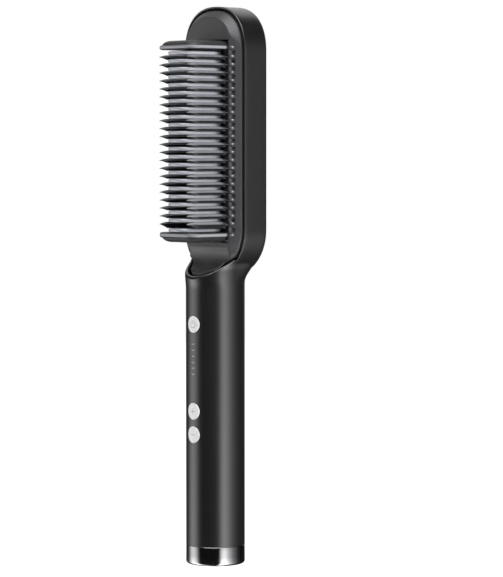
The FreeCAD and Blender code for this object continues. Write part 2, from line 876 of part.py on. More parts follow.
def build():
    """Every piece under its own name."""
    makers = (body_shell, front_cover, comb_frame, comb_screws, heating_plate, heating_fins, ptc_heaters,
              heater_insulator, heater_clamp, clamp_screws, thermistor, thermal_fuse, heat_shield,
              light_board, ring_leds, light_ring, back_panel, cover_screws, chassis, chassis_screw,
              control_board, board_screws, tact_switches, indicator_window, indicator_leds,
              microcontroller, fuse, triac, film_capacitor, heater_leads, power_leads, end_ring, end_cap,
              cap_screws, swivel_gland, swivel_retainer, swivel_contacts, swivel_brushes)
    pieces = {maker.__name__: maker() for maker in makers}
    pieces.update({name: push_button(height) for name, height in button_heights.items()})
    return pieces


os.makedirs("parts", exist_ok=True)
for name, piece in build().items():
    piece.exportStep("parts/" + name + ".step")
    print(name, len(piece.Solids), round(piece.Volume, 2), piece.isValid())
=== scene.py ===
import math

import bmesh
import bpy
import numpy as np
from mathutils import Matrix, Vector


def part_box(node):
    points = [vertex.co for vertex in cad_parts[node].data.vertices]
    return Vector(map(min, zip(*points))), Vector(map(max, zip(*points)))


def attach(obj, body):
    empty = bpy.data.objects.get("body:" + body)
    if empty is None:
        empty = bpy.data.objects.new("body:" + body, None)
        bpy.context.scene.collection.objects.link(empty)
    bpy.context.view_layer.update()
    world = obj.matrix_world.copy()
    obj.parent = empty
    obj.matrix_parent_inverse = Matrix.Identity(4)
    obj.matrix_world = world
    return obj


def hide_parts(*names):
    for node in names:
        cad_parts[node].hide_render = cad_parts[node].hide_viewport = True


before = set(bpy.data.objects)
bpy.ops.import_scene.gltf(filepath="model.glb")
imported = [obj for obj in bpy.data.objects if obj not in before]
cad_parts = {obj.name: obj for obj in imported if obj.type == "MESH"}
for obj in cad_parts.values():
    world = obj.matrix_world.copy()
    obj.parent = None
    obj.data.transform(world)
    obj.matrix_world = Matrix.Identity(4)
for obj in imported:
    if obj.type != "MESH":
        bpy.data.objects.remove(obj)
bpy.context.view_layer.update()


# Body shell
# One black moulding: a round handle tube that widens into the tub of the head.
# Satin ABS with a very fine spark grain; the wall is 2 mm and its edges are broken.
mm = 0.001
tiny = 1e-9
weld_distance = 1e-6


def box_corners(box):
    """Lowest and highest corner of a CAD node's box, in millimetres."""
    low, high = box
    return np.array(low) / mm, np.array(high) / mm


shell_high = box_corners(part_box("body_shell"))[1]
ring_high = box_corners(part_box("end_ring"))[1]
head_radius = shell_high[0]
head_back = 15.4
head_squareness = 2.35
handle_radius = ring_high[0]
handle_foot = ring_high[2]
top_centre = shell_high[2] - head_radius
neck_centre = 171.5
shell_wall = 2.0
button_names = ("power_button", "plus_button", "minus_button")
button_boxes = {name: box_corners(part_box(name)) for name in button_names}
button_heights = {name: (low[2] + high[2]) / 2 for name, (low, high) in button_boxes.items()}
button_radius = 4.35
button_gap = 0.05
window_low, window_high = box_corners(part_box("indicator_window"))
mark_half_width = 1.5
mark_height = 1.4
mark_pitch = 3.07
mark_count = 6
mark_middle = (window_low[2] + window_high[2]) / 2
mark_heights = mark_middle + mark_pitch * (np.arange(mark_count) - (mark_count - 1) / 2)


def grid_quads(rows, columns, wrap_rows=False, wrap_columns=False):
    """Quads of a grid whose points are numbered row by row.
    A wrapped side joins its last line to its first."""
    i = np.arange(rows if wrap_rows else rows - 1)[:, None]
    j = np.arange(columns if wrap_columns else columns - 1)[None, :]
    up = (i + 1) % rows
    right = (j + 1) % columns
    quads = [i * columns + j, i * columns + right, up * columns + right, up * columns + j]
    return np.stack(quads, -1).reshape(-1, 4)


def closed_grid(points):
    """A grid that joins up both ways, as a ring does."""
    return points.reshape(-1, 3), grid_quads(*points.shape[:2], True, True)


def add_object(name, data):
    """New object in the scene, at the origin."""
    made = bpy.data.objects.new(name, data)
    bpy.context.scene.collection.objects.link(made)
    return made


def make_piece(name, parts, material, body="brush", sharp_angle=35):
    """One mesh, in metres, from parts that are each points in millimetres with their quads.
    Doubles are merged, faces point outwards, and edges past the sharp angle stay sharp."""
    starts = np.cumsum([0] + [len(points) for points, quads in parts])
    points = np.concatenate([points for points, quads in parts]) * mm
    quads = np.concatenate([part[1] + start for part, start in zip(parts, starts)])
    used, quads = np.unique(quads, return_inverse=True)
    mesh = bpy.data.meshes.new(name)
    mesh.from_pydata(points[used].tolist(), [], quads.reshape(-1, 4).tolist())
    work = bmesh.new()
    work.from_mesh(mesh)
    bmesh.ops.remove_doubles(work, verts=work.verts, dist=weld_distance)
    bmesh.ops.recalc_face_normals(work, faces=work.faces)
    work.to_mesh(mesh)
    work.free()
    mesh.shade_smooth()
    mesh.set_sharp_from_angle(angle=math.radians(sharp_angle))
    mesh.materials.append(material)
    piece = add_object(name, mesh)
    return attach(piece, body)


def link(tree, *pairs):
    """Join the output socket of each pair to its input socket."""
    for source, target in pairs:
        tree.links.new(source, target)


def grain_group(grain_detail=3, drift_detail=2):
    """Fine grain of a moulded or brushed surface: two noises, one for the grain and one for slow drift.
    Colour = base mixed towards tint by drift; roughness = low to high by the mean of grain and drift;
    height = grain."""
    group = bpy.data.node_groups.new("surface grain", "ShaderNodeTree")
    inputs = {"Base": "Color", "Tint": "Color", "Grain Scale": "Float", "Drift Scale": "Float",
              "Roughness Low": "Float", "Roughness High": "Float", "Stretch": "Vector"}
    outputs = {"Color": "Color", "Roughness": "Float", "Height": "Float"}
    for direction, kinds in (("INPUT", inputs), ("OUTPUT", outputs)):
        for label, kind in kinds.items():
            group.interface.new_socket(label, in_out=direction, socket_type="NodeSocket" + kind)
    nodes = group.nodes
    given = nodes.new("NodeGroupInput")
    out = nodes.new("NodeGroupOutput")
    place = nodes.new("ShaderNodeTexCoord")
    stretch = nodes.new("ShaderNodeVectorMath")
    stretch.operation = "MULTIPLY"
    grain = nodes.new("ShaderNodeTexNoise")
    grain.inputs["Detail"].default_value = grain_detail
    drift = nodes.new("ShaderNodeTexNoise")
    drift.inputs["Detail"].default_value = drift_detail
    colour = nodes.new("ShaderNodeMix")
    colour.data_type = "RGBA"
    both = nodes.new("ShaderNodeMath")
    both.operation = "ADD"
    half = nodes.new("ShaderNodeMath")
    half.operation = "MULTIPLY"
    half.inputs[1].default_value = 0.5
    rough = nodes.new("ShaderNodeMapRange")
    link(group,
         (place.outputs["Object"], stretch.inputs[0]),
         (given.outputs["Stretch"], stretch.inputs[1]),
         (stretch.outputs[0], grain.inputs["Vector"]),
         (stretch.outputs[0], drift.inputs["Vector"]),
         (given.outputs["Grain Scale"], grain.inputs["Scale"]),
         (given.outputs["Drift Scale"], drift.inputs["Scale"]),
         (given.outputs["Base"], colour.inputs["A"]),
         (given.outputs["Tint"], colour.inputs["B"]),
         (drift.outputs["Fac"], colour.inputs["Factor"]),
         (grain.outputs["Fac"], both.inputs[0]),
         (drift.outputs["Fac"], both.inputs[1]),
         (both.outputs[0], half.inputs[0]),
         (half.outputs[0], rough.inputs["Value"]),
         (given.outputs["Roughness Low"], rough.inputs["To Min"]),
         (given.outputs["Roughness High"], rough.inputs["To Max"]),
         (colour.outputs["Result"], out.inputs["Color"]),
         (rough.outputs["Result"], out.inputs["Roughness"]),
         (grain.outputs["Fac"], out.inputs["Height"]))
    return group


surface_grain = grain_group()
bump_strength = 0.3


def finish(name, base, tint, roughness, grain=2500, drift=60, depth=0.02, stretch=(1, 1, 1), **plain):
    """Material with the grain on colour, roughness and bump.
    Plain values go straight to the shader's sockets."""
    material = bpy.data.materials.new(name)
    material.use_nodes = True
    tree = material.node_tree
    shader = tree.nodes["Principled BSDF"]
    grains = tree.nodes.new("ShaderNodeGroup")
    grains.node_tree = surface_grain
    given = {"Base": (*base, 1), "Tint": (*tint, 1), "Grain Scale": grain, "Drift Scale": drift,
             "Roughness Low": roughness[0], "Roughness High": roughness[1], "Stretch": stretch}
    for label, value in given.items():
        grains.inputs[label].default_value = value
    bump = tree.nodes.new("ShaderNodeBump")
    bump.inputs["Strength"].default_value = bump_strength
    bump.inputs["Distance"].default_value = depth * mm
    link(tree,
         (grains.outputs["Color"], shader.inputs["Base Color"]),
         (grains.outputs["Roughness"], shader.inputs["Roughness"]),
         (grains.outputs["Height"], bump.inputs["Height"]),
         (bump.outputs["Normal"], shader.inputs["Normal"]))
    for label, value in plain.items():
        shader.inputs[label.replace("_", " ")].default_value = value
    return material


def step(value, start, end):
    """0 before start, 1 after end, and between them the smooth s that is 3 s^2 - 2 s^3."""
    share = np.clip((value - start) / (end - start), 0, 1)
    return share * share * (3 - 2 * share)


def rounded_edge(radius, steps=5):
    """Quarter circle as distances in from the side and down from the top."""
    turn = np.linspace(0, math.pi / 2, steps)
    return radius * (1 - np.cos(turn)), radius * (1 - np.sin(turn))


least_power_sum = 0.25


def fullness(across, along, power):
    """How far out a direction reaches on a squarer circle: (|cos a|^n + |sin a|^n)^(-1/n), which is 1 when
    n is 2. A least value of the sum keeps the corners of a high power round."""
    total = np.abs(across) ** power + np.abs(along) ** power
    return np.maximum(total, least_power_sum) ** (-1 / power)


fair_radius = 8.0
fair_start = 150.83
fair_end = 156.16


def fair_half_width(z):
    """Half width of the handle: its radius, then an arc that swings out above the fairing's start."""
    rise = np.clip(z - fair_start, 0, fair_end - fair_start)
    return handle_radius + fair_radius - np.sqrt(fair_radius ** 2 - rise ** 2)


rim_face = -0.5
rim_height = 155.7
rim_slope = 0.62
rim_bend = 6.0
rim_swell = 1.0
rim_swell_run = 2.0
rim_edge = 0.35
rim_hollow = 1.2


def rim_top(y):
    """Height of the shell's upper edge: a slanted line at the front, bent up by an arc to the fairing's end.
    A swell that starts at the foremost point, 1 - exp(-distance / run), lifts it a little."""
    reach = rim_bend * math.tan(math.pi / 4 - math.atan(rim_slope) / 2)
    lift = rim_height + reach
    across = np.clip(y - (rim_face - rim_bend), 0, rim_bend)
    arc = lift - np.sqrt(rim_bend ** 2 - across ** 2)
    line = rim_height + rim_slope * (y - rim_face)
    tangent = rim_face - reach * math.cos(math.atan(rim_slope))
    swell = rim_swell * (1 - np.exp(-np.clip(y + handle_radius, 0, None) / rim_swell_run))
    return np.minimum(np.where(y < tangent, line, arc) + swell, fair_end)


def thicken(front, back, kept, wrap=False):
    """Closed wall between two skins with the same grid: the kept faces of both skins, and a wall along every
    edge of them."""
    rows, columns = front.shape[:2]
    index = np.arange(rows * columns).reshape(rows, columns)
    far = rows * columns
    quads = grid_quads(rows, columns, False, wrap)[kept.ravel()]
    padded = np.pad(kept, ((1, 1), (0, 0)))
    row, column = np.nonzero(padded[1:] != padded[:-1])
    first = index[row, column]
    second = index[row, (column + 1) % columns]
    level = np.stack([first, second, second + far, first + far], -1)
    if wrap:
        before = np.roll(kept, 1, 1)
        after = kept
    else:
        before = np.pad(kept, ((0, 0), (1, 0)))
        after = np.pad(kept, ((0, 0), (0, 1)))
    row, column = np.nonzero(before != after)
    first = index[row, column]
    second = index[row + 1, column]
    upright = np.stack([first, second, second + far, first + far], -1)
    points = np.concatenate([front.reshape(-1, 3), back.reshape(-1, 3)])
    return points, np.concatenate([quads, quads[:, ::-1] + far, level, upright])


loft_start = 140.0
loft_rows = 26
row_step = 2.5
round_steps = 113
fine_half = 6.0
fine_steps = 41
square_start = 144.5
square_end = 155.0
square_gain = 0.38
flare_start = 141.0
flare_end = 149.0
flare_share = 0.05


def handle_parts():
    """Tube wall: column angle by row height, with the holes of the buttons and marks left out.
    x = (w(z) - inset) f cos a, y = (r - inset) f sin a, where f makes the back squarer as the neck runs into
    the head and flares the front; the uppermost rows roll over the slanted rim."""
    hole_radius = button_radius + button_gap
    front = np.append(np.linspace(-fine_half, fine_half, fine_steps), [-mark_half_width, mark_half_width])
    front = np.degrees(np.arcsin(np.unique(front) / handle_radius))
    rest = np.linspace(front[-1], 360 + front[0], round_steps)[1:-1]
    angle = np.radians(np.concatenate([front, rest]) - 90)
    levels = [np.arange(handle_foot, loft_start, row_step)]
    levels += [np.linspace(height - fine_half, height + fine_half, fine_steps)
               for height in button_heights.values()]
    levels += [height + mark_height * np.array([-0.5, 0, 0.5]) for height in mark_heights]
    levels = np.unique(np.round(np.concatenate(levels), 3))
    shares = np.linspace(0, 1, loft_rows)[:, None]

    def skin(inset, drop):
        """The tube's face, drawn in by an inset, with its uppermost row a drop below the rim."""
        top = rim_top((handle_radius - inset) * np.sin(angle)) - drop
        lower = np.repeat(levels[:, None], len(angle), 1)
        z = np.concatenate([lower, loft_start + shares * (top - loft_start)])
        power = 1 / (0.5 - square_gain * step(z, square_start, square_end))
        flare = 1 + flare_share * step(z, flare_start, flare_end) * np.sin(angle) ** 2
        full = np.where(np.sin(angle) > 0, fullness(np.cos(angle), np.sin(angle), power), flare)
        x = (fair_half_width(z) - inset) * full * np.cos(angle)
        y = (handle_radius - inset) * full * np.sin(angle)
        return np.stack([x, y, z], -1)

    outer = skin(0, rim_edge)
    inner = skin(shell_wall, rim_hollow)
    rows, columns = outer.shape[:2]
    middle = (outer[:-1] + outer[1:]) / 2
    middle = (middle + np.roll(middle, -1, 1)) / 2
    ahead = middle[..., 1] < 0
    kept = np.ones((rows - 1, columns), bool)
    for height in button_heights.values():
        hole = ahead & (np.hypot(middle[..., 0], middle[..., 2] - height) < hole_radius)
        count = hole.astype(int)
        touched = np.pad(count, ((1, 0), (0, 0))) + np.pad(count, ((0, 1), (0, 0)))
        touched = touched + np.roll(touched, 1, 1)
        edge = (touched > 0) & (touched < 4)
        x = outer[edge][:, 0]
        z = outer[edge][:, 2] - height
        snap = hole_radius / np.hypot(x, z)
        for wall, radius in ((outer, handle_radius), (inner, handle_radius - shell_wall)):
            depth = -np.sqrt(radius ** 2 - (x * snap) ** 2)
            wall[edge] = np.stack([x * snap, depth, z * snap + height], -1)
        kept &= ~hole
    for height in mark_heights:
        beside = np.abs(middle[..., 0]) < mark_half_width
        level = np.abs(middle[..., 2] - height) < mark_height / 2
        kept &= ~(ahead & beside & level)
    rim_in, rim_down = rounded_edge(rim_edge)
    hollow_in, hollow_down = rounded_edge(rim_hollow)
    rim_out = [skin(inset, drop)[-1] for inset, drop in zip(rim_in[1:], rim_down[1:])]
    rim_back = [skin(shell_wall - inset, drop)[-1] for inset, drop in zip(hollow_in[1:], hollow_down[1:])]
    kept = np.pad(kept, ((0, len(rim_out)), (0, 0)), constant_values=True)
    return thicken(np.concatenate([outer, rim_out]), np.concatenate([inner, rim_back]), kept, wrap=True)


def stadium_path(arc_steps=72, side_steps=36):
    """Outward direction, as cosine and sine, and centre height round the head's outline: half a circle over
    the top, down one side, half a circle under the neck and up the other side."""
    over = np.linspace(0, math.pi, arc_steps + 1)
    under = np.linspace(math.pi, 2 * math.pi, arc_steps + 1)
    up = np.linspace(neck_centre, top_centre, side_steps + 1)[1:-1]
    turn = np.concatenate([over, np.full(len(up), math.pi), under, np.full(len(up), 2 * math.pi)])
    centre = np.concatenate([np.full(len(over), top_centre), up[::-1], np.full(len(under), neck_centre), up])
    return np.cos(turn), np.sin(turn), centre


def fuller(points):
    """The head's upper end made a little squarer about its middle, by the fullness of its squareness."""
    x = points[..., 0]
    rise = np.clip(points[..., 2] - top_centre, 0, None)
    radius = np.maximum(np.hypot(x, rise), tiny)
    share = np.where(rise > 0, fullness(x / radius, rise / radius, head_squareness), 1)
    return points + np.stack([x * (share - 1), 0 * x, rise * (share - 1)], -1)


def stadium_sweep(inset, y):
    """A closed profile, as distance in from the head's outline and depth, carried round that outline."""
    across, along, centre = stadium_path()
    radius = head_radius - np.asarray(inset)[None, :]
    x = radius * across[:, None]
    return fuller(np.stack([x, 0 * x + np.asarray(y), centre[:, None] + radius * along[:, None]], -1))


head_edge = 0.3
head_rim = 0.75
head_rim_round = 0.25
rebate = 1.3
wall_rows = 5
back_edge = 2.4
back_sweep = 57
back_steps = 10
light_margin = 1.2
light_shoulder = 0.1
ledge_width = 1.7
ledge_depth = 1.8
ledge_thick = 1.5
ledge_seat = head_back - ledge_depth
ledge_face = ledge_seat - ledge_thick
ledge_in = light_margin + ledge_width
edge_in, edge_down = rounded_edge(head_edge)
small_in, small_down = rounded_edge(head_rim_round, steps=4)
back_turn = np.linspace(0, math.radians(back_sweep), back_steps)
back_in = back_edge * (1 - np.cos(back_turn))
back_down = back_edge * (1 - np.sin(back_turn))
wall_in = np.concatenate([
    back_in,
    [light_margin, light_margin, ledge_in, ledge_in, shell_wall, shell_wall, head_rim],
    head_rim - small_in,
    edge_in[::-1],
    np.zeros(wall_rows)])
wall_y = np.concatenate([
    head_back - back_down,
    [head_back - back_down[-1] - light_shoulder, ledge_seat, ledge_seat, ledge_face, ledge_face],
    [rebate, rim_face + head_rim_round],
    rim_face + small_down,
    rim_face + edge_down[::-1],
    np.linspace(rim_face + head_edge, head_back - back_edge, wall_rows + 2)[1:-1]])
shell_black = finish("satin black shell", (0.0068, 0.0064, 0.0072), (0.0095, 0.0090, 0.0100), (0.26, 0.34),
                     grain=3500, drift=35, depth=0.012, Specular_IOR_Level=1.0)
shell = make_piece("handle_shell", [handle_parts(), closed_grid(stadium_sweep(wall_in, wall_y))], shell_black)
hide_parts("body_shell")


# Heater and its fins
# A row of grey coated aluminium fins with round noses, pressed into the heating plate.
# The plate, its heating stones and the clamp stay behind the comb's frame.
fin_low, fin_high = box_corners(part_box("heating_fins"))
fin_count = 23
fin_thick = 1.8
fin_corner = 8.0
fin_edge = 0.7
row_pitch = 4.02
last_gap = 5.0
last_fin = fin_low[2] + fin_thick / 2
fin_heights = np.append(last_fin + last_gap + row_pitch * np.arange(fin_count - 2, -1, -1), last_fin)
least_corner = 0.05
face_margin = 0.25


def plate_outline(half_width, front, back, corner, inset, steps=14, side_steps=6):
    """Closed loop in plan, drawn in by an inset: quarter circles at the front corners, straight sides and
    square back corners, mirrored in the middle line."""
    width = half_width - inset
    nose = front + inset
    heel = back - inset
    bend = max(corner - inset, least_corner)
    turn = np.linspace(0, math.pi / 2, steps)
    quarter = np.stack([width - bend + bend * np.sin(turn), nose + bend - bend * np.cos(turn)], -1)
    side = np.stack([np.full(side_steps, width), np.linspace(nose + bend, heel, side_steps + 1)[1:]], -1)
    loop = np.concatenate([quarter, side])
    return np.concatenate([loop, loop[::-1] * (-1, 1)])


def tube_grid(points):
    """A grid whose rows are loops, as those of a tube are."""
    return points.reshape(-1, 3), grid_quads(*points.shape[:2], False, True)


def capped_stack(outline, insets, levels):
    """Loops of a plan outline, one for each inset and level, with a pole in the middle of both end loops."""
    loops = np.stack([np.column_stack([outline(inset), np.full(len(outline(0)), level)])
                      for inset, level in zip(insets, levels)])
    poles = [np.repeat(loop.mean(0)[None], loop.shape[0], 0) for loop in (loops[0], loops[-1])]
    return tube_grid(np.concatenate([poles[:1], loops, poles[1:]]))


def slab(outline, low, high, edge):
    """Plate from a plan outline: from the middle of the lower face out over a rounded edge, up the side, and
    in again over the upper one."""
    edge_in, edge_down = rounded_edge(edge, steps=6)
    flat = edge + face_margin
    insets = np.concatenate([[flat], edge_in[::-1], edge_in, [flat]])
    levels = np.concatenate([[low], low + edge_down[::-1], high - edge_down, [high]])
    return capped_stack(outline, insets, levels)


def fin_outline(inset):
    """A fin's plan: as wide and deep as the row of fins, with a round nose."""
    return plate_outline(fin_high[0], fin_low[1], fin_high[1], fin_corner, inset)


fin_metal = finish("coated aluminium fin", (0.42, 0.44, 0.475), (0.48, 0.50, 0.535), (0.32, 0.42), grain=900,
                   drift=120, depth=0.01, stretch=(0.2, 0.2, 3), Metallic=0.15)
fin_slabs = [slab(fin_outline, height - fin_thick / 2, height + fin_thick / 2, fin_edge)
             for height in fin_heights]
fins = make_piece("heating_fin_row", fin_slabs, fin_metal)
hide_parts("heating_fins")


# Comb frame
# Heat-proof black nylon moulding: a land round the heating plate, two columns of guard teeth drawn in to
# their tips, and a long bar with a matt guard on it at each end. Screwed to the cover from behind.
comb_front = box_corners(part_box("comb_frame"))[0][1]
land_front = -3.6
land_back = -1.8
land_half_width = 9.9
land_corner = 0.8
land_inner_corner = 0.5
land_round = 0.25
land_ease = 0.07
land_shares = np.array([0, 0, 0.03, 0.06, 0.94, 0.97, 1, 1])
row_heights = fin_heights[0] + row_pitch / 2 - row_pitch * np.arange(1, fin_count)
tooth_inner = 11.0
tooth_outer = 15.0
tooth_blade = 1.8
tooth_lean = 0.4
tooth_tip = 0.4
tooth_shoulder = 6.5
tooth_half_thick = 1.2
tooth_draw_power = 1.3
tooth_flare_run = 0.9
tip_top_drop = 0.95
tip_low_rise = 1.1
nose_share = 0.015
least_nose_share = 0.0004
last_row_deeper = 1.0
tooth_row_shares = np.concatenate([np.linspace(-0.02, 0.1, 6), np.linspace(0.13, 0.72, 7),
                                   np.linspace(0.75, 0.985, 9), [0.995, 1]])
section_across_shares = np.array([-0.8, 0, 0.8, 0.95, 1, 1, 1, 0.93, 0.5,
                                  0, -0.5, -0.8, -0.95, -1, -1, -1, -1, -0.95])
section_up_shares = np.array([-1, -1, -1, -0.95, -0.85, -0.3, -0.05, 0.12, 0.36,
                              0.62, 0.86, 0.98, 0.95, 0.8, 0.15, -0.1, -0.85, -0.95])
bar_ranges = ((262.75, 265.05), (167.65, 170.45))
bar_edge = 1.05
bar_sink = 1.0
guard_ranges = ((264.2, 267.35), (168.5, 165.35))
guard_corner = 7.0
guard_inset = 0.5
guard_dome = 5.0
guard_base_margin = 2.0


def guard_tooth(side, height, deeper):
    """Bar along the depth. In plan its inner edge leans in and its outer edge flares at the foot, by an
    exponential; its upper face slopes outwards like a roof, and both edges draw in to a tip at mid height
    over the last stretch, by powers of the share drawn. A square root rounds the nose."""
    reach = land_front - comb_front
    down = tooth_row_shares * reach
    inner = tooth_inner - (tooth_lean + tooth_tip) * tooth_row_shares
    tip = tooth_inner - tooth_lean + tooth_tip
    drawn = np.clip((down - reach + tooth_shoulder) / tooth_shoulder, 0, 1)
    blade = tooth_inner + tooth_blade
    flare = (tooth_outer - blade) * np.exp(-np.clip(down, 0, None) / tooth_flare_run)
    outer = blade + (tip - blade) * drawn ** tooth_draw_power + flare
    nose = np.sqrt(np.clip((1 - tooth_row_shares) / nose_share, least_nose_share, 1))
    top = tooth_half_thick - tip_top_drop * drawn ** 2
    low = -tooth_half_thick + tip_low_rise * (1 - (1 - drawn) ** 2) - deeper * (1 - drawn)
    level = (top + low) / 2
    thick = (top - low) / 2 * nose
    middle = (inner + outer) / 2
    half = (outer - inner) / 2 * nose
    x = side * (middle[:, None] + half[:, None] * section_across_shares)
    y = land_front - down[:, None] + 0 * section_across_shares
    z = height + level[:, None] + thick[:, None] * section_up_shares
    points = np.stack([x, y, z], -1)
    poles = [np.repeat(row.mean(1, keepdims=True), points.shape[1], 1) for row in (points[:1], points[-1:])]
    return tube_grid(np.concatenate([poles[0], points, poles[1]]))


def bar_outline(inset):
    """A bar's plan: as wide as both columns and as deep as the teeth, with round front corners."""
    return plate_outline(tooth_outer, comb_front, land_front + bar_sink, guard_corner, inset)


def guard_outline(inset):
    """A guard's plan: the bar's, narrower by an inset on each side and shorter by two."""
    return plate_outline(tooth_outer - guard_inset, comb_front + 2 * guard_inset, land_front + bar_sink,
                         guard_corner, inset)


def dome(outline, base, top, steps=12):
    """Lid on a plan outline, closed by a flat base: a quarter ellipse in from the edge and up to the top."""
    turn = np.linspace(0, math.pi / 2, steps)
    insets = np.concatenate([[guard_base_margin], guard_dome * (1 - np.cos(turn))])
    levels = np.concatenate([[base], base + (top - base) * np.sin(turn)])
    return capped_stack(outline, insets, levels)


def frame_loop(half_width, low, high, corner, steps=6):
    """Rectangle in elevation with quarter circles at its corners."""
    turn = np.linspace(0, math.pi / 2, steps)
    across = half_width - corner + corner * np.cos(turn)
    quarter = np.stack([across, high - corner + corner * np.sin(turn)], -1)
    upper = np.concatenate([quarter, quarter[::-1] * (-1, 1)])
    lower = np.stack([upper[:, 0], low + high - upper[:, 1]], -1)[::-1]
    return np.concatenate([upper, lower])


def land_parts():
    """Flat frame between an outer and an inner rectangle: shares of the way from one to the other, by depths
    that ease over its front edges."""
    outer = frame_loop(tooth_outer, guard_ranges[1][1], guard_ranges[0][1], land_corner)
    inner = frame_loop(land_half_width, bar_ranges[1][1], bar_ranges[0][0], land_inner_corner)
    rising = [land_back, land_front + land_round, land_front + land_ease, land_front]
    depth = np.array(rising + rising[::-1])
    plan = outer[:, None] + land_shares[None, :, None] * (inner - outer)[:, None]
    return closed_grid(np.stack([plan[..., 0], 0 * plan[..., 0] + depth, plan[..., 1]], -1))


def tint_where(material, mask_name, colour):
    """Mixes another colour over the material's own, as far as a point attribute of the mesh says."""
    tree = material.node_tree
    base_colour = tree.nodes["Principled BSDF"].inputs["Base Color"]
    mask = tree.nodes.new("ShaderNodeAttribute")
    mask.attribute_name = mask_name
    tinted = tree.nodes.new("ShaderNodeMix")
    tinted.data_type = "RGBA"
    tinted.inputs["B"].default_value = (*colour, 1)
    link(tree,
         (base_colour.links[0].from_socket, tinted.inputs["A"]),
         (mask.outputs["Fac"], tinted.inputs["Factor"]),
         (tinted.outputs["Result"], base_colour))


def piece_points(piece):
    """The points of a piece's mesh, in millimetres."""
    places = np.empty(len(piece.data.vertices) * 3, np.float32)
    piece.data.vertices.foreach_get("co", places)
    return places.reshape(-1, 3) / mm


def mark_points(piece, mask_name, values):
    """Keeps one value for each point of a piece's mesh as a named attribute."""
    attribute = piece.data.attributes.new(mask_name, "FLOAT", "POINT")
    attribute.data.foreach_set("value", values.astype(np.float32))


comb_black = finish("nylon comb", (0.009, 0.0095, 0.011), (0.013, 0.0135, 0.015), (0.24, 0.36), grain=1800,
                    drift=90, depth=0.01, Specular_IOR_Level=0.3)
# The tint is a painted highlight: pale grey laid where the tooth roofs and the bars catch the light.
tint_where(comb_black, "painted_highlight", (0.34, 0.345, 0.365))
comb_parts = [land_parts()]
comb_parts += [slab(bar_outline, low, high, bar_edge) for low, high in bar_ranges]
comb_parts += [guard_tooth(side, height, last_row_deeper if height == row_heights[-1] else 0)
               for side in (-1, 1) for height in row_heights]
comb = make_piece("guard_comb", comb_parts, comb_black)

# Painted highlight on the roof of each tooth, strongest on the inner side, and along the middle of each bar.
bar_zone = 1.5
band_start = 0.45
band_end = 0.95
roof_start = -0.05
roof_end = 0.2
land_clear = 0.2
inner_side = tooth_inner + 0.05
outer_highlight_share = 0.72
places = piece_points(comb)
over_row = places[:, 2:] - row_heights
over_row = over_row[np.arange(len(places)), np.abs(over_row).argmin(1)]
off_bar = np.abs(places[:, 2:] - np.mean(bar_ranges, 1)).min(1)
on_bar = 1 - step(off_bar, band_start, band_end)
painted_highlight = np.where(off_bar < bar_zone, on_bar, step(over_row, roof_start, roof_end))
painted_highlight = painted_highlight * (places[:, 1] < land_front - land_clear)
painted_highlight = painted_highlight * np.where(np.abs(places[:, 0]) < inner_side, 1, outer_highlight_share)
mark_points(comb, "painted_highlight", painted_highlight)
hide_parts("comb_frame")
guard_matt = finish("matt guard", (0.013, 0.014, 0.015), (0.019, 0.020, 0.021), (0.5, 0.62), grain=2200,
                    drift=80, depth=0.015)
guards = make_piece("end_guards", [dome(guard_outline, base, top) for base, top in guard_ranges], guard_matt)
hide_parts("comb_frame")


# Front cover
# Charcoal face of the head: a raised flat face with a bevelled border, notches along both sides of the
# comb's opening, and a scoop across the neck that closes it.
# Matt moulded plastic, held by screws from the back.
cover_radius = 21.25
cover_inset = shell_wall + 0.5
cover_lip = handle_radius - cover_inset
cover_edge = -1.0
cover_wall = 1.8
cover_round = 0.5
face_front = -5.0
face_radius = 18.0
face_half = 16.0
face_blend = 0.3
lip_rise = 0.94
scoop_height = 157.8
scoop_radius = 8.4
scoop_axis = -12.2
scoop_sweep = 135
scoop_low = scoop_height - scoop_radius
no_groove = -1e3
opening_half = 15.3
opening_margin = 0.3
opening_low = guard_ranges[1][1] - opening_margin
opening_high = guard_ranges[0][1] + opening_margin


def softer(a, b, blend):
    """Larger of two values, with the corner where they cross rounded off:
    (a + b + sqrt((a - b)^2 + blend^2)) / 2."""
    return (a + b + np.sqrt((a - b) ** 2 + blend ** 2)) / 2


def corner_drop(inward, radius):
    """How far a quarter circle has fallen, r - sqrt(r^2 - d^2), at a distance d in from where it starts."""
    return radius - np.sqrt(radius ** 2 - inward ** 2)


rib_inner = 16.4
rib_outer = 18.7
notch_soft = 0.3
notch_depth = 1.5
notch_start = 0.6
notch_end = 1.1


def side_ribs(x, z):
    """Depth of the notches beside the comb, one beside each fin: a smooth step in from both ends of a rib,
    and a smooth fall with the height from the nearest fin."""
    from_inner = step(np.abs(x), rib_inner, rib_inner + notch_soft)
    to_outer = 1 - step(np.abs(x), rib_outer - notch_soft, rib_outer)
    beside_fin = np.abs(z[..., None] - fin_heights).min(-1)
    return notch_depth * (from_inner * to_outer) * (1 - step(beside_fin, notch_start, notch_end))


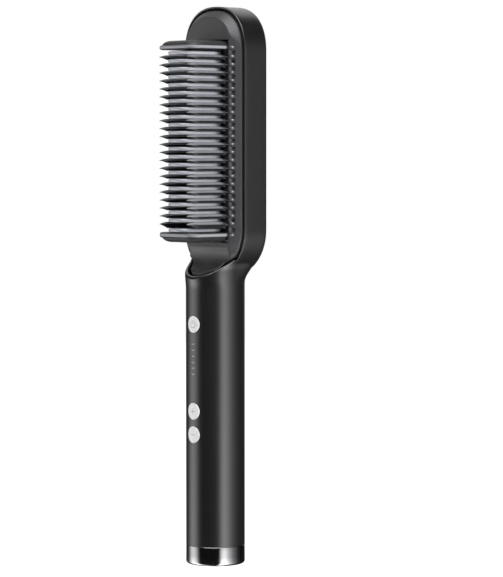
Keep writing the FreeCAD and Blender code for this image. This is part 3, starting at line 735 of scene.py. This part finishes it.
def cover_rows(lip_rows=6, scoop_rows=60, upper_rows=30, neck_rows=22, pitch_rows=10, end_rows=40):
    """Height, groove depth and lean of each row: back along the slanted lip, round the scoop, whose
    (y, z) = (axis + r sin a, height - r cos a), then up the face and over its round top, where there is
    no groove."""
    lip = np.linspace(-cover_lip, scoop_axis, lip_rows)[:-1]
    turn = np.radians(np.concatenate([np.linspace(0, 90, scoop_rows),
                                      np.linspace(90, scoop_sweep, upper_rows)[1:]]))
    groove_z = scoop_height - scoop_radius * np.cos(turn)
    over = np.radians(np.concatenate([np.linspace(0, 60, end_rows)[1:], np.linspace(60, 90, end_rows)[1:]]))
    levels = np.concatenate([np.linspace(groove_z[-1], neck_centre, neck_rows)[1:-1],
                             np.arange(neck_centre, top_centre, row_pitch / pitch_rows), [top_centre],
                             top_centre + cover_radius * np.sin(over)])
    for limit in (opening_low, opening_high):
        levels[np.argmin(np.abs(levels - limit))] = limit
    z = np.concatenate([rim_height + lip_rise + rim_slope * (lip - rim_face), groove_z, levels])
    groove_y = np.concatenate([lip, scoop_axis + scoop_radius * np.sin(turn),
                               np.full(len(levels), no_groove)])
    lean = np.concatenate([0 * lip, np.minimum(turn, math.pi / 2), np.full(len(levels), math.pi / 2)])
    return z, groove_y, lean


tube_end = 156.2
tube_top = 160.0
tube_reach = 7.9
tube_beyond = 40.0
bevel_low = tube_end - 1.6
close_width = 1.5
wide_start = 1.6
wide_end = 0.4
fixed_share = 0.85
lip_blend = 0.2
lip_widening = 1.4
widening_start = 153.5
widening_end = 156.0


def cover_columns(z, groove_y, close_rings=9, wide_rings=7, inner_columns=26, rail_columns=12):
    """Half width of each column, row by row, and of the cover's edge. Columns on the bevel keep their
    distance R from the head's middle line, so their half width is sqrt(R^2 - rise^2); the neck's tube, an
    ellipse across the lip that swings out with the fairing, draws all of them in alike."""
    rise = np.maximum(z - np.clip(z, neck_centre, top_centre), bevel_low - neck_centre)
    rings = np.concatenate([np.linspace(face_radius, face_radius + close_width, close_rings)[1:],
                            np.linspace(face_radius + wide_start, cover_radius - wide_end, wide_rings),
                            cover_radius - rounded_edge(cover_round, steps=6)[1]])
    flat = np.sqrt(np.clip(face_radius ** 2 - rise ** 2, 0, None))
    bevel = np.sqrt(np.clip(rings ** 2 - rise[:, None] ** 2, 0, None))
    fixed = np.minimum(opening_half, fixed_share * flat)[:, None]
    inner = np.linspace(0, 1, inner_columns)
    rail = np.linspace(0, 1, rail_columns)[1:]
    half = np.concatenate([fixed * inner, fixed + (flat[:, None] - fixed) * rail, bevel], 1)
    fairing = corner_drop(np.clip(z - fair_start, 0, tube_reach), fair_radius)
    narrowing = np.sqrt(np.clip(1 - (np.clip(groove_y, -cover_lip, 0) / cover_lip) ** 2, 0, 1))
    tube = np.where(z < tube_top, (handle_radius + fairing - cover_inset) * narrowing, tube_beyond)
    tube = tube + lip_widening * step(z, widening_start, widening_end)
    widest = half[:, -1:]
    edge = np.maximum(-softer(-tube[:, None], -widest, lip_blend), 0)
    return half * np.where(widest > 0, edge / np.maximum(widest, tiny), 0), edge


bevel_fade = 3.0
bevel_fade_start = 155.5
bevel_fade_end = 161.0
plane_end = tube_end + 0.5
groove_blend = 0.45
groove_blend_loss = 0.449
crisp_start = 160.5
crisp_end = 163.6


def cover_depth(z, half, groove_y):
    """Depth of the face: the deeper of the scoop and of the raised face, whose bevel falls with the distance
    R from the head's middle line and with |x|. The bevel fades out at the neck, where the plane of the
    slanted rim limits the face."""
    radius = np.hypot(half, (z - np.clip(z, neck_centre, top_centre))[:, None])
    fade = bevel_fade * (1 - step(z, bevel_fade_start, bevel_fade_end))[:, None]
    drop = cover_edge - face_front
    round_end = face_front + (radius - face_radius - fade) * drop / (cover_radius - face_radius)
    straight = face_front + (half - face_half - fade) * drop / (cover_radius - face_half)
    form = softer(softer(face_front, round_end, face_blend), straight, face_blend)
    plane = ((z - rim_height - lip_rise) / rim_slope + rim_face)[:, None]
    form = np.where(z[:, None] < plane_end, -softer(-form, -plane, face_blend), form)
    blend = (groove_blend - groove_blend_loss * step(z, crisp_start, crisp_end))[:, None]
    groove = groove_y[:, None]
    y = np.where(groove > no_groove, softer(form, groove, blend), form)
    return np.where(z[:, None] < scoop_low, groove, y)


bowl_depth = 1.3
bowl_back = -10.5
bowl_start = 153.0
bowl_end = 158.0
brim_round = 0.25
level_slack = 1e-6
back_seat = 0.8
lip_recess = 1.5
narrow_share = 0.12
narrow_start = 156.0
narrow_end = 158.0


def both_sides(skin):
    """A skin worked out for one side, with its mirror image joined on at the middle line."""
    return np.concatenate([skin[:, :0:-1] * (-1, 1, 1), skin], 1)


def cover_parts():
    """Wall of rows up the face by columns across it. Quarter circles round the outer edge, the lip and the
    brim of the comb's opening; the scoop is bowled, its height rising with the square of the share across;
    the back skin lies a wall's thickness behind along each row's lean."""
    z, groove_y, lean = cover_rows()
    half, edge = cover_columns(z, groove_y)
    y = cover_depth(z, half, groove_y)
    edge_inward = np.clip(cover_round - (edge - half), 0, cover_round)
    lip_inward = np.clip(cover_round - (groove_y + cover_lip), 0, cover_round)
    lip_inward = np.where(groove_y > no_groove, lip_inward, 0)[:, None]
    rounded = np.maximum(corner_drop(edge_inward, cover_round), corner_drop(lip_inward, cover_round))
    bowl = bowl_depth * step(groove_y, -cover_lip, bowl_back) * (1 - step(z, bowl_start, bowl_end))
    level = z[:, None] + bowl[:, None] * (half / np.maximum(edge, tiny)) ** 2
    y = y + side_ribs(half, level)
    within = (level > opening_low - level_slack) & (level < opening_high + level_slack)
    brim = np.where(within, np.clip(brim_round - np.abs(half - opening_half), 0, brim_round), 0)
    y = y + corner_drop(brim, brim_round)
    backwards = np.sin(lean)[:, None]
    upwards = np.cos(lean)[:, None]
    front = np.stack([half, y + rounded * backwards, level - rounded * upwards], -1)
    back = front + cover_wall * np.stack([0 * lean, np.sin(lean), -np.cos(lean)], -1)[:, None]
    back[..., 0] *= (1 - narrow_share * (1 - step(z, narrow_start, narrow_end)))[:, None]
    back[..., 1] = np.maximum(back[..., 1], np.where(level > tube_end, back_seat, lip_recess - cover_lip))
    front = both_sides(front)
    back = both_sides(back)
    middle = (front[:-1, :-1] + front[1:, 1:]) / 2
    hole = (middle[..., 2] > opening_low) & (middle[..., 2] < opening_high)
    hole &= np.abs(middle[..., 0]) < opening_half
    return thicken(fuller(front), fuller(back), ~hole)


stud_middle = 17.5
stud_half_width = 1.3
stud_half_height = 0.75
stud_proud = 0.8
stud_seat = -4.2
stud_lift = 0.4


def stud_parts(side, height, rings=13, steps=24):
    """Small pillow at the end of a tooth's row: an ellipsoid, latitude by longitude, sunk in the bevel."""
    latitude = np.linspace(-math.pi / 2, math.pi / 2, rings)[:, None]
    longitude = np.linspace(0, 2 * math.pi, steps, endpoint=False)
    x = side * (stud_middle + stud_half_width * np.sin(latitude)) + 0 * longitude
    y = stud_seat - stud_proud * np.cos(latitude) * np.cos(longitude)
    z = height + stud_half_height * np.cos(latitude) * np.sin(longitude)
    return tube_grid(np.stack([x, y, z], -1))


face_charcoal = finish("charcoal face", (0.040, 0.040, 0.043), (0.052, 0.052, 0.055), (0.42, 0.52),
                       grain=2600, drift=40, depth=0.014)
cover = make_piece("face_cover", [cover_parts()], face_charcoal, sharp_angle=28)
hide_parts("front_cover")
stud_heights = np.concatenate([row_heights + stud_lift, [np.mean(ends) for ends in bar_ranges]])
# The rib ends' mid grey is a painted highlight, far paler than the black comb so they show as bright dots;
# their gloss is real.
stud_gloss_and_painted_highlight = finish("polished rib ends with painted highlight", (0.20, 0.20, 0.21), (0.25, 0.25, 0.26), (0.24, 0.32), grain=1500,
                    depth=0.004, Specular_IOR_Level=1.0)
stud_set = [stud_parts(side, height) for side in (-1, 1) for height in stud_heights]
studs = make_piece("rib_ends", stud_set, stud_gloss_and_painted_highlight)
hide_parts("front_cover")


# Light ring
# Clear polycarbonate guide let into the back of the head; lamps under its foot light it violet.
# Its face is slightly crowned, brighter along the sides than round the ends.
light_high = box_corners(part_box("light_ring"))[1]
light_outer = head_radius - light_high[0]
light_width = 3.3
light_inner = light_outer + light_width
light_crown = 0.35
light_steps = 13
light_foot = ledge_seat + 0.05
bright_share = 0.72
dim_share = 1.05
dim_reach = 14.0
half_straight = (top_centre - neck_centre) / 2
crown = np.linspace(-1, 1, light_steps)
light_in = np.concatenate([light_outer + light_width * (crown + 1) / 2, [light_inner, light_outer]])
light_y = np.concatenate([light_high[1] - light_crown * crown ** 4, [light_foot, light_foot]])
light_guide = bpy.data.materials.new("lit light guide")
light_guide.use_nodes = True
tree = light_guide.node_tree
shader = tree.nodes["Principled BSDF"]
shader.inputs["Roughness"].default_value = 0.25
shader.inputs["Emission Strength"].default_value = 1.0
place = tree.nodes.new("ShaderNodeTexCoord")
parted = tree.nodes.new("ShaderNodeSeparateXYZ")
from_middle = tree.nodes.new("ShaderNodeMath")
from_middle.operation = "SUBTRACT"
from_middle.inputs[1].default_value = (neck_centre + top_centre) / 2 * mm
distance = tree.nodes.new("ShaderNodeMath")
distance.operation = "ABSOLUTE"
fade = tree.nodes.new("ShaderNodeMapRange")
fade.interpolation_type = "SMOOTHSTEP"
fade.inputs["From Min"].default_value = bright_share * half_straight * mm
fade.inputs["From Max"].default_value = (dim_share * half_straight + dim_reach) * mm
ramp = tree.nodes.new("ShaderNodeValToRGB")
ramp.color_ramp.elements[0].color = (0.50, 0.33, 1.0, 1)
ramp.color_ramp.elements[1].color = (0.10, 0.0, 0.62, 1)
speck = tree.nodes.new("ShaderNodeTexNoise")
speck.inputs["Scale"].default_value = 400
mottle = tree.nodes.new("ShaderNodeMix")
mottle.data_type = "RGBA"
mottle.blend_type = "MULTIPLY"
mottle.inputs["Factor"].default_value = 0.15
link(tree,
     (place.outputs["Object"], parted.inputs[0]),
     (parted.outputs["Z"], from_middle.inputs[0]),
     (from_middle.outputs[0], distance.inputs[0]),
     (distance.outputs[0], fade.inputs["Value"]),
     (fade.outputs["Result"], ramp.inputs["Fac"]),
     (place.outputs["Object"], speck.inputs["Vector"]),
     (ramp.outputs["Color"], mottle.inputs["A"]),
     (speck.outputs["Color"], mottle.inputs["B"]),
     (mottle.outputs["Result"], shader.inputs["Emission Color"]),
     (mottle.outputs["Result"], shader.inputs["Base Color"]))
ring_light = make_piece("light_guide", [closed_grid(stadium_sweep(light_in, light_y))], light_guide)
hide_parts("light_ring")


# Back panel
# Gloss black acrylic plate inside the light ring, which holds it by its foot.
# Its edge is rounded, and its face is slightly crowned by a quarter sine from the edge to the middle.
panel_low, panel_high = box_corners(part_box("back_panel"))
panel_reach = panel_high[0]
panel_start = head_radius - panel_reach
panel_edge = 0.3
panel_crown = 0.12
panel_rings = 16
panel_face = panel_high[1] - 0.05
panel_in, panel_down = rounded_edge(panel_edge, steps=4)
inward = np.linspace(panel_edge, panel_reach, panel_rings)[1:]
panel_inset = panel_start + np.concatenate([[panel_reach, 0], panel_in, inward])
panel_y = np.concatenate([[panel_low[1], panel_low[1]], panel_face - panel_down,
                          panel_face + panel_crown * np.sin(math.pi / 2 * (inward / panel_reach))])
panel_grid = stadium_sweep(panel_inset, panel_y)
panel_parts = (panel_grid.reshape(-1, 3), grid_quads(*panel_grid.shape[:2], True, False))
panel_gloss = finish("gloss back panel", (0.006, 0.006, 0.007), (0.009, 0.009, 0.010), (0.06, 0.12),
                     grain=120, drift=25, depth=0.006)
panel = make_piece("gloss_panel", [panel_parts], panel_gloss)
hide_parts("back_panel")


# Buttons
# White push caps whose faces follow the handle's round, each with a plain sign printed in grey.
# A flange behind the handle's wall holds each one, and its stem works a switch.
button_low, button_high = button_boxes["power_button"]
button_face = -button_low[1]
button_edge = 0.45
button_crown = 0.06
flange_radius = button_high[0]
flange_front = -11.83
flange_back = flange_front + 0.7
sign_depth = 2.0
circle_radius = 1.75
circle_gap = 0.75
power_stroke = 0.17
power_bar_middle = 1.35
power_bar_half = 0.95
plain_stroke = 0.19
plain_half = 1.5


def stroke(distance, half_width, soft=0.06):
    """1 within a stroke's half width of its middle line, 0 outside, with a soft edge between."""
    return np.clip((half_width + soft - np.abs(distance)) / soft, 0, 1)


def power_sign(x, z):
    """Open circle with an upright bar in its gap."""
    ring = stroke(np.hypot(x, z) - circle_radius, power_stroke) * ((np.abs(x) > circle_gap) | (z < 0))
    bar = stroke(x, power_stroke) * stroke(z - power_bar_middle, power_bar_half)
    return np.maximum(ring, bar)


def minus_sign(x, z):
    """Level bar: within its stroke in height and its half length across."""
    return stroke(z, plain_stroke) * stroke(x, plain_half)


def plus_sign(x, z):
    """Level bar and an upright one, the larger of the two."""
    return np.maximum(minus_sign(z, x), minus_sign(x, z))


def button_parts(height, face_rings=40, steps=96):
    """Disc of rings: y = -sqrt(face^2 - x^2) plus a drop, slightly crowned, that falls over a rounded edge
    to the side, the flange and the middle of the back."""
    edge_in, edge_down = rounded_edge(button_edge, steps=6)
    face = np.linspace(0, button_radius - button_edge, face_rings)[:-1]
    radius = np.concatenate([face, button_radius - edge_in[::-1]])
    drop = np.concatenate([button_crown * (1 - (face / button_radius) ** 2), edge_down[::-1]])
    turn = np.linspace(0, 2 * math.pi, steps, endpoint=False)
    x = radius[:, None] * np.cos(turn)
    z = radius[:, None] * np.sin(turn)
    front = np.stack([x, -np.sqrt(button_face ** 2 - x ** 2) + drop[:, None], z + height], -1)
    rings = ((button_radius, flange_front), (flange_radius, flange_front), (flange_radius, flange_back),
             (0, flange_back))
    behind = np.stack([np.stack([r * np.cos(turn), 0 * turn + level, height + r * np.sin(turn)], -1)
                       for r, level in rings])
    return tube_grid(np.concatenate([front, behind]))


button_white = finish("white button", (0.94, 0.94, 0.95), (0.89, 0.89, 0.90), (0.28, 0.38), grain=1500,
                      drift=200, depth=0.006)
tint_where(button_white, "sign", (0.50, 0.50, 0.52))
for name, drawing in zip(button_names, (power_sign, plus_sign, minus_sign)):
    height = button_heights[name]
    cap = make_piece(name.replace("button", "cap"), [button_parts(height)], button_white, name)
    places = piece_points(cap)
    on_face = places[:, 1] < sign_depth - handle_radius
    mark_points(cap, "sign", drawing(places[:, 0], places[:, 2] - height) * on_face)
    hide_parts(name)


# Setting lights
# Six small smoked lenses in the handle's wall, part of one clear strip behind it.
# Each is a low pillow, moulded to the handle's round with a thin gap about it.
lens_proud = 0.22
lens_sink = 0.1
lens_gap = 0.06
lens_columns = 13
lens_rows = 9


def lens_parts(height):
    """Small pillow on the handle's round: y = -sqrt(R^2 - x^2), where R swells from the sunk edge to the
    proud middle by sqrt((1 - u^4)(1 - v^4))."""
    u, v = np.meshgrid(np.linspace(-1, 1, lens_columns), np.linspace(-1, 1, lens_rows))
    x = u * (mark_half_width - lens_gap)
    z = v * (mark_height / 2 - lens_gap)
    swell = np.sqrt(np.clip((1 - u ** 4) * (1 - v ** 4), 0, 1))
    radius = handle_radius - lens_sink + (lens_proud + lens_sink) * swell
    front = np.stack([x, -np.sqrt(radius ** 2 - x ** 2), z + height], -1)
    back = front.copy()
    back[..., 1] = -handle_radius + shell_wall
    return thicken(front, back, np.ones((lens_rows - 1, lens_columns - 1), bool))


window_grey = finish("smoked lens", (0.24, 0.24, 0.25), (0.28, 0.28, 0.29), (0.22, 0.28), grain=2500,
                     drift=40, depth=0.001)
lenses = make_piece("setting_lenses", [lens_parts(height) for height in mark_heights], window_grey)
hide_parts("indicator_window")


# End ring
# Chrome-plated ring at the foot of the handle, turned with a rounded lower edge and a fine line at the top.
# The end cap draws it up against the handle by the ledge inside it.
ring_wall = 2.8
ring_ledge_wall = 3.5
ring_ledge_low = 4.0
ring_ledge_high = 6.0
ring_foot_round = 1.5
ring_top_round = 0.18


def revolve(radius, z, steps=192):
    """Closed profile, as radius and height, turned about the upright axis."""
    turn = np.linspace(0, 2 * math.pi, steps, endpoint=False)[:, None]
    return closed_grid(np.stack([radius * np.cos(turn), radius * np.sin(turn), z + 0 * turn], -1))


foot_in, foot_down = rounded_edge(ring_foot_round, steps=9)
top_in, top_down = rounded_edge(ring_top_round, steps=4)
ring_bore = [shell_wall, shell_wall, ring_ledge_wall, ring_ledge_wall, ring_wall, ring_wall]
ring_bore_z = [handle_foot, ring_ledge_high, ring_ledge_high, ring_ledge_low, ring_ledge_low, 0]
ring_radius = handle_radius - np.concatenate([foot_in[::-1], top_in, ring_bore])
ring_z = np.concatenate([foot_down[::-1], handle_foot - top_down, ring_bore_z])
ring_chrome = finish("chrome ring", (0.36, 0.36, 0.375), (0.41, 0.41, 0.42), (0.10, 0.15), grain=300,
                     drift=60, depth=0.002, Metallic=1.0)
end_ring = make_piece("chrome_ring", [revolve(ring_radius, ring_z)], ring_chrome)
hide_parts("end_ring")


# Inside pieces and the foot's closing
# Boards, heater stack, wires, screws and the swivel, fixed as the CAD model has them.
# They keep their own shapes and get a finish each.
inner_finishes = {
    ("end_cap", "swivel_gland", "swivel_retainer", "chassis"):
        finish("matt black cap", (0.012, 0.012, 0.013), (0.018, 0.018, 0.019), (0.40, 0.52), grain=1800),
    ("cap_screws", "comb_screws", "clamp_screws", "cover_screws", "chassis_screw", "board_screws",
     "heater_clamp"):
        finish("zinc screw", (0.50, 0.50, 0.52), (0.42, 0.42, 0.43), (0.22, 0.38), grain=1200, Metallic=1.0),
    ("heating_plate",):
        finish("black anodised plate", (0.020, 0.021, 0.024), (0.028, 0.029, 0.032), (0.30, 0.45), grain=700),
    ("ptc_heaters", "thermistor"):
        finish("heating stone", (0.28, 0.26, 0.24), (0.34, 0.31, 0.28), (0.6, 0.8), grain=1500),
    ("heater_insulator", "heat_shield"):
        finish("mica sheet", (0.36, 0.28, 0.17), (0.46, 0.37, 0.24), (0.35, 0.6), grain=500),
    ("control_board", "light_board"):
        finish("solder mask", (0.010, 0.09, 0.035), (0.014, 0.12, 0.05), (0.30, 0.42), grain=900),
    ("microcontroller", "triac", "tact_switches"):
        finish("component body", (0.015, 0.015, 0.016), (0.022, 0.022, 0.023), (0.4, 0.55), grain=2000),
    ("film_capacitor",):
        finish("capacitor case", (0.60, 0.42, 0.05), (0.66, 0.47, 0.08), (0.35, 0.5), grain=1200),
    ("thermal_fuse", "fuse"):
        finish("tinned can", (0.62, 0.61, 0.59), (0.55, 0.54, 0.52), (0.25, 0.4), grain=900, Metallic=1.0),
    ("ring_leds", "indicator_leds"):
        finish("lamp body", (0.75, 0.74, 0.70), (0.80, 0.79, 0.75), (0.3, 0.45), grain=1800),
    ("swivel_contacts", "swivel_brushes"):
        finish("brass", (0.60, 0.42, 0.16), (0.66, 0.48, 0.20), (0.2, 0.35), grain=900, Metallic=1.0),
    ("heater_leads", "power_leads"):
        finish("silicone sleeve", (0.45, 0.06, 0.05), (0.52, 0.08, 0.06), (0.5, 0.65), grain=1200),
}
for names, material in inner_finishes.items():
    for name in names:
        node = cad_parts[name]
        node.data.materials.clear()
        node.data.materials.append(material)


# Studio
# White floor and backdrop, soft light all round, two tall soft boxes and two high ones for the gloss to
# mirror, and a camera at the photograph's angle.
camera_angle = 49.0
camera_distance = 1.4
camera_height = 0.213
picture_scale = 1954.0
picture_width = 503
picture_height = 577
axis_pixel = 215.3
foot_pixel = 564.4


def stand_at(holder, angle, distance, height, target):
    """Puts a camera or lamp at a bearing from the front, in degrees, and turns it upright towards a point."""
    turn = math.radians(angle)
    holder.location = (distance * math.sin(turn), -distance * math.cos(turn), height)
    holder.rotation_mode = "QUATERNION"
    holder.rotation_quaternion = (Vector(target) - holder.location).to_track_quat("-Z", "Y")


camera_turn = math.radians(camera_angle)
aside = (picture_width / 2 - axis_pixel) / picture_scale
aim = (aside * math.cos(camera_turn), aside * math.sin(camera_turn),
       (foot_pixel - picture_height / 2) / picture_scale)
lens = bpy.data.cameras.new("camera")
lens.lens = picture_scale * camera_distance * lens.sensor_width / picture_height
camera = add_object("camera", lens)
stand_at(camera, camera_angle, camera_distance, camera_height, aim)
bpy.context.scene.camera = camera
bpy.context.scene.view_settings.view_transform = "Standard"

# Each tall box is a level by bearing times a level by height; each high one has the direction that it hangs
# in, the cosines where its glow starts and is full, and its level.
soft_boxes = ((-110, 0.02), (-80, 0.1), (-68, 0.7), (-58, 1.5), (-42, 1.55), (-30, 0.9), (-21, 0.2),
              (-14, 0.01), (63, 0.01), (75, 1.9), (83, 2.25), (91, 1.95), (104, 1.0), (122, 0.34),
              (145, 0.06), (165, 0.01))
box_heights = ((-1.0, 2.0), (-0.5, 2.8), (-0.32, 2.4), (-0.12, 0.95), (0.0, 1.0), (0.1, 0.75), (0.22, 0.2),
               (0.32, 0.02))
high_boxes = (((0.3, -0.45, 0.84), 0.74, 0.95, 6.5), ((-0.562, 0.67, 0.485), 0.77, 0.92, 1.1))
ambient = 0.62
world = bpy.data.worlds.new("studio")
bpy.context.scene.world = world
world.use_nodes = True
tree = world.node_tree
nodes = tree.nodes


def operate(kind, *values):
    """Math node with sockets or plain numbers as its inputs."""
    node = nodes.new("ShaderNodeMath")
    node.operation = kind
    for socket, value in zip(node.inputs, values):
        if isinstance(value, (int, float)):
            socket.default_value = value
        else:
            tree.links.new(value, socket)
    return node.outputs[0]


def level_ramp(value, low, high, stops):
    """Brightness along a value: a ramp of its stops, as shares of the largest level, times that level."""
    share = nodes.new("ShaderNodeMapRange")
    share.inputs["From Min"].default_value = low
    share.inputs["From Max"].default_value = high
    ramp = nodes.new("ShaderNodeValToRGB")
    most = max(level for place, level in stops)
    while len(ramp.color_ramp.elements) < len(stops):
        ramp.color_ramp.elements.new(0.5)
    for element, (place, level) in zip(ramp.color_ramp.elements, stops):
        element.position = (place - low) / (high - low)
    for element, (place, level) in zip(ramp.color_ramp.elements, stops):
        element.color = (level / most, level / most, level / most, 1)
    link(tree, (value, share.inputs["Value"]), (share.outputs["Result"], ramp.inputs["Fac"]))
    return operate("MULTIPLY", ramp.outputs["Color"], most)


place = nodes.new("ShaderNodeTexCoord")
parted = nodes.new("ShaderNodeSeparateXYZ")
tree.links.new(place.outputs["Generated"], parted.inputs[0])
bearing = operate("ARCTAN2", parted.outputs["X"], operate("MULTIPLY", parted.outputs["Y"], -1.0))
level = operate("MULTIPLY", level_ramp(operate("DEGREES", bearing), -180, 180, soft_boxes),
                level_ramp(parted.outputs["Z"], -1, 1, box_heights))
for towards_box, outside, inside, strength in high_boxes:
    facing = nodes.new("ShaderNodeVectorMath")
    facing.operation = "DOT_PRODUCT"
    facing.inputs[1].default_value = Vector(towards_box).normalized()
    glow = nodes.new("ShaderNodeMapRange")
    glow.interpolation_type = "SMOOTHSTEP"
    glow.inputs["From Min"].default_value = outside
    glow.inputs["From Max"].default_value = inside
    glow.inputs["To Max"].default_value = strength
    link(tree,
         (place.outputs["Generated"], facing.inputs[0]),
         (facing.outputs["Value"], glow.inputs["Value"]))
    level = operate("ADD", level, glow.outputs["Result"])
rays = nodes.new("ShaderNodeLightPath")
mirrored = operate("MAXIMUM", rays.outputs["Is Glossy Ray"], rays.outputs["Is Transmission Ray"])
plain = nodes.new("ShaderNodeMix")
plain.inputs["A"].default_value = ambient
seen = nodes.new("ShaderNodeMix")
seen.inputs["B"].default_value = 1.0
background = nodes["Background"]
background.inputs["Color"].default_value = (1, 1, 1, 1)
link(tree,
     (mirrored, plain.inputs["Factor"]),
     (level, plain.inputs["B"]),
     (rays.outputs["Is Camera Ray"], seen.inputs["Factor"]),
     (plain.outputs["Result"], seen.inputs["A"]),
     (seen.outputs["Result"], background.inputs["Strength"]))

# The paper floor takes the shadow; a plain lift brings it up to white, also seen through clear pieces.
floor_radius = 1.6
floor_steps = 64
paper_grey = 0.55
paper_lift = 0.74
turn = np.linspace(0, 2 * math.pi, floor_steps, endpoint=False)
floor_rim = np.stack([floor_radius * np.cos(turn), floor_radius * np.sin(turn), 0 * turn], -1)
floor_mesh = bpy.data.meshes.new("floor")
floor_mesh.from_pydata(floor_rim.tolist(), [], [list(range(floor_steps))])
floor = add_object("floor", floor_mesh)
paper = bpy.data.materials.new("white paper")
paper.use_nodes = True
tree = paper.node_tree
shader = tree.nodes["Principled BSDF"]
shader.inputs["Base Color"].default_value = (paper_grey, paper_grey, paper_grey, 1)
shader.inputs["Roughness"].default_value = 1.0
shader.inputs["Specular IOR Level"].default_value = 0.0
rays = tree.nodes.new("ShaderNodeLightPath")
seen = tree.nodes.new("ShaderNodeMath")
seen.operation = "ADD"
seen.use_clamp = True
lift = tree.nodes.new("ShaderNodeEmission")
lift.inputs["Strength"].default_value = paper_lift
shown = tree.nodes.new("ShaderNodeAddShader")
either = tree.nodes.new("ShaderNodeMixShader")
link(tree,
     (rays.outputs["Is Camera Ray"], seen.inputs[0]),
     (rays.outputs["Is Transmission Ray"], seen.inputs[1]),
     (shader.outputs[0], shown.inputs[0]),
     (lift.outputs[0], shown.inputs[1]),
     (seen.outputs[0], either.inputs["Fac"]),
     (shader.outputs[0], either.inputs[1]),
     (shown.outputs[0], either.inputs[2]),
     (either.outputs[0], tree.nodes["Material Output"].inputs["Surface"]))
floor_mesh.materials.append(paper)
floor.visible_glossy = False

lamp_distance = 1.1
lamp_target = (0, 0, 0.15)
for name, angle, height, power, size in (("key", -55, 0.75, 5.0, 0.5), ("fill", 105, 0.38, 16.0, 0.5)):
    lamp = bpy.data.lights.new(name, "AREA")
    lamp.energy = power
    lamp.size = size
    holder = add_object(name, lamp)
    stand_at(holder, angle, lamp_distance, height, lamp_target)
    holder.visible_glossy = False
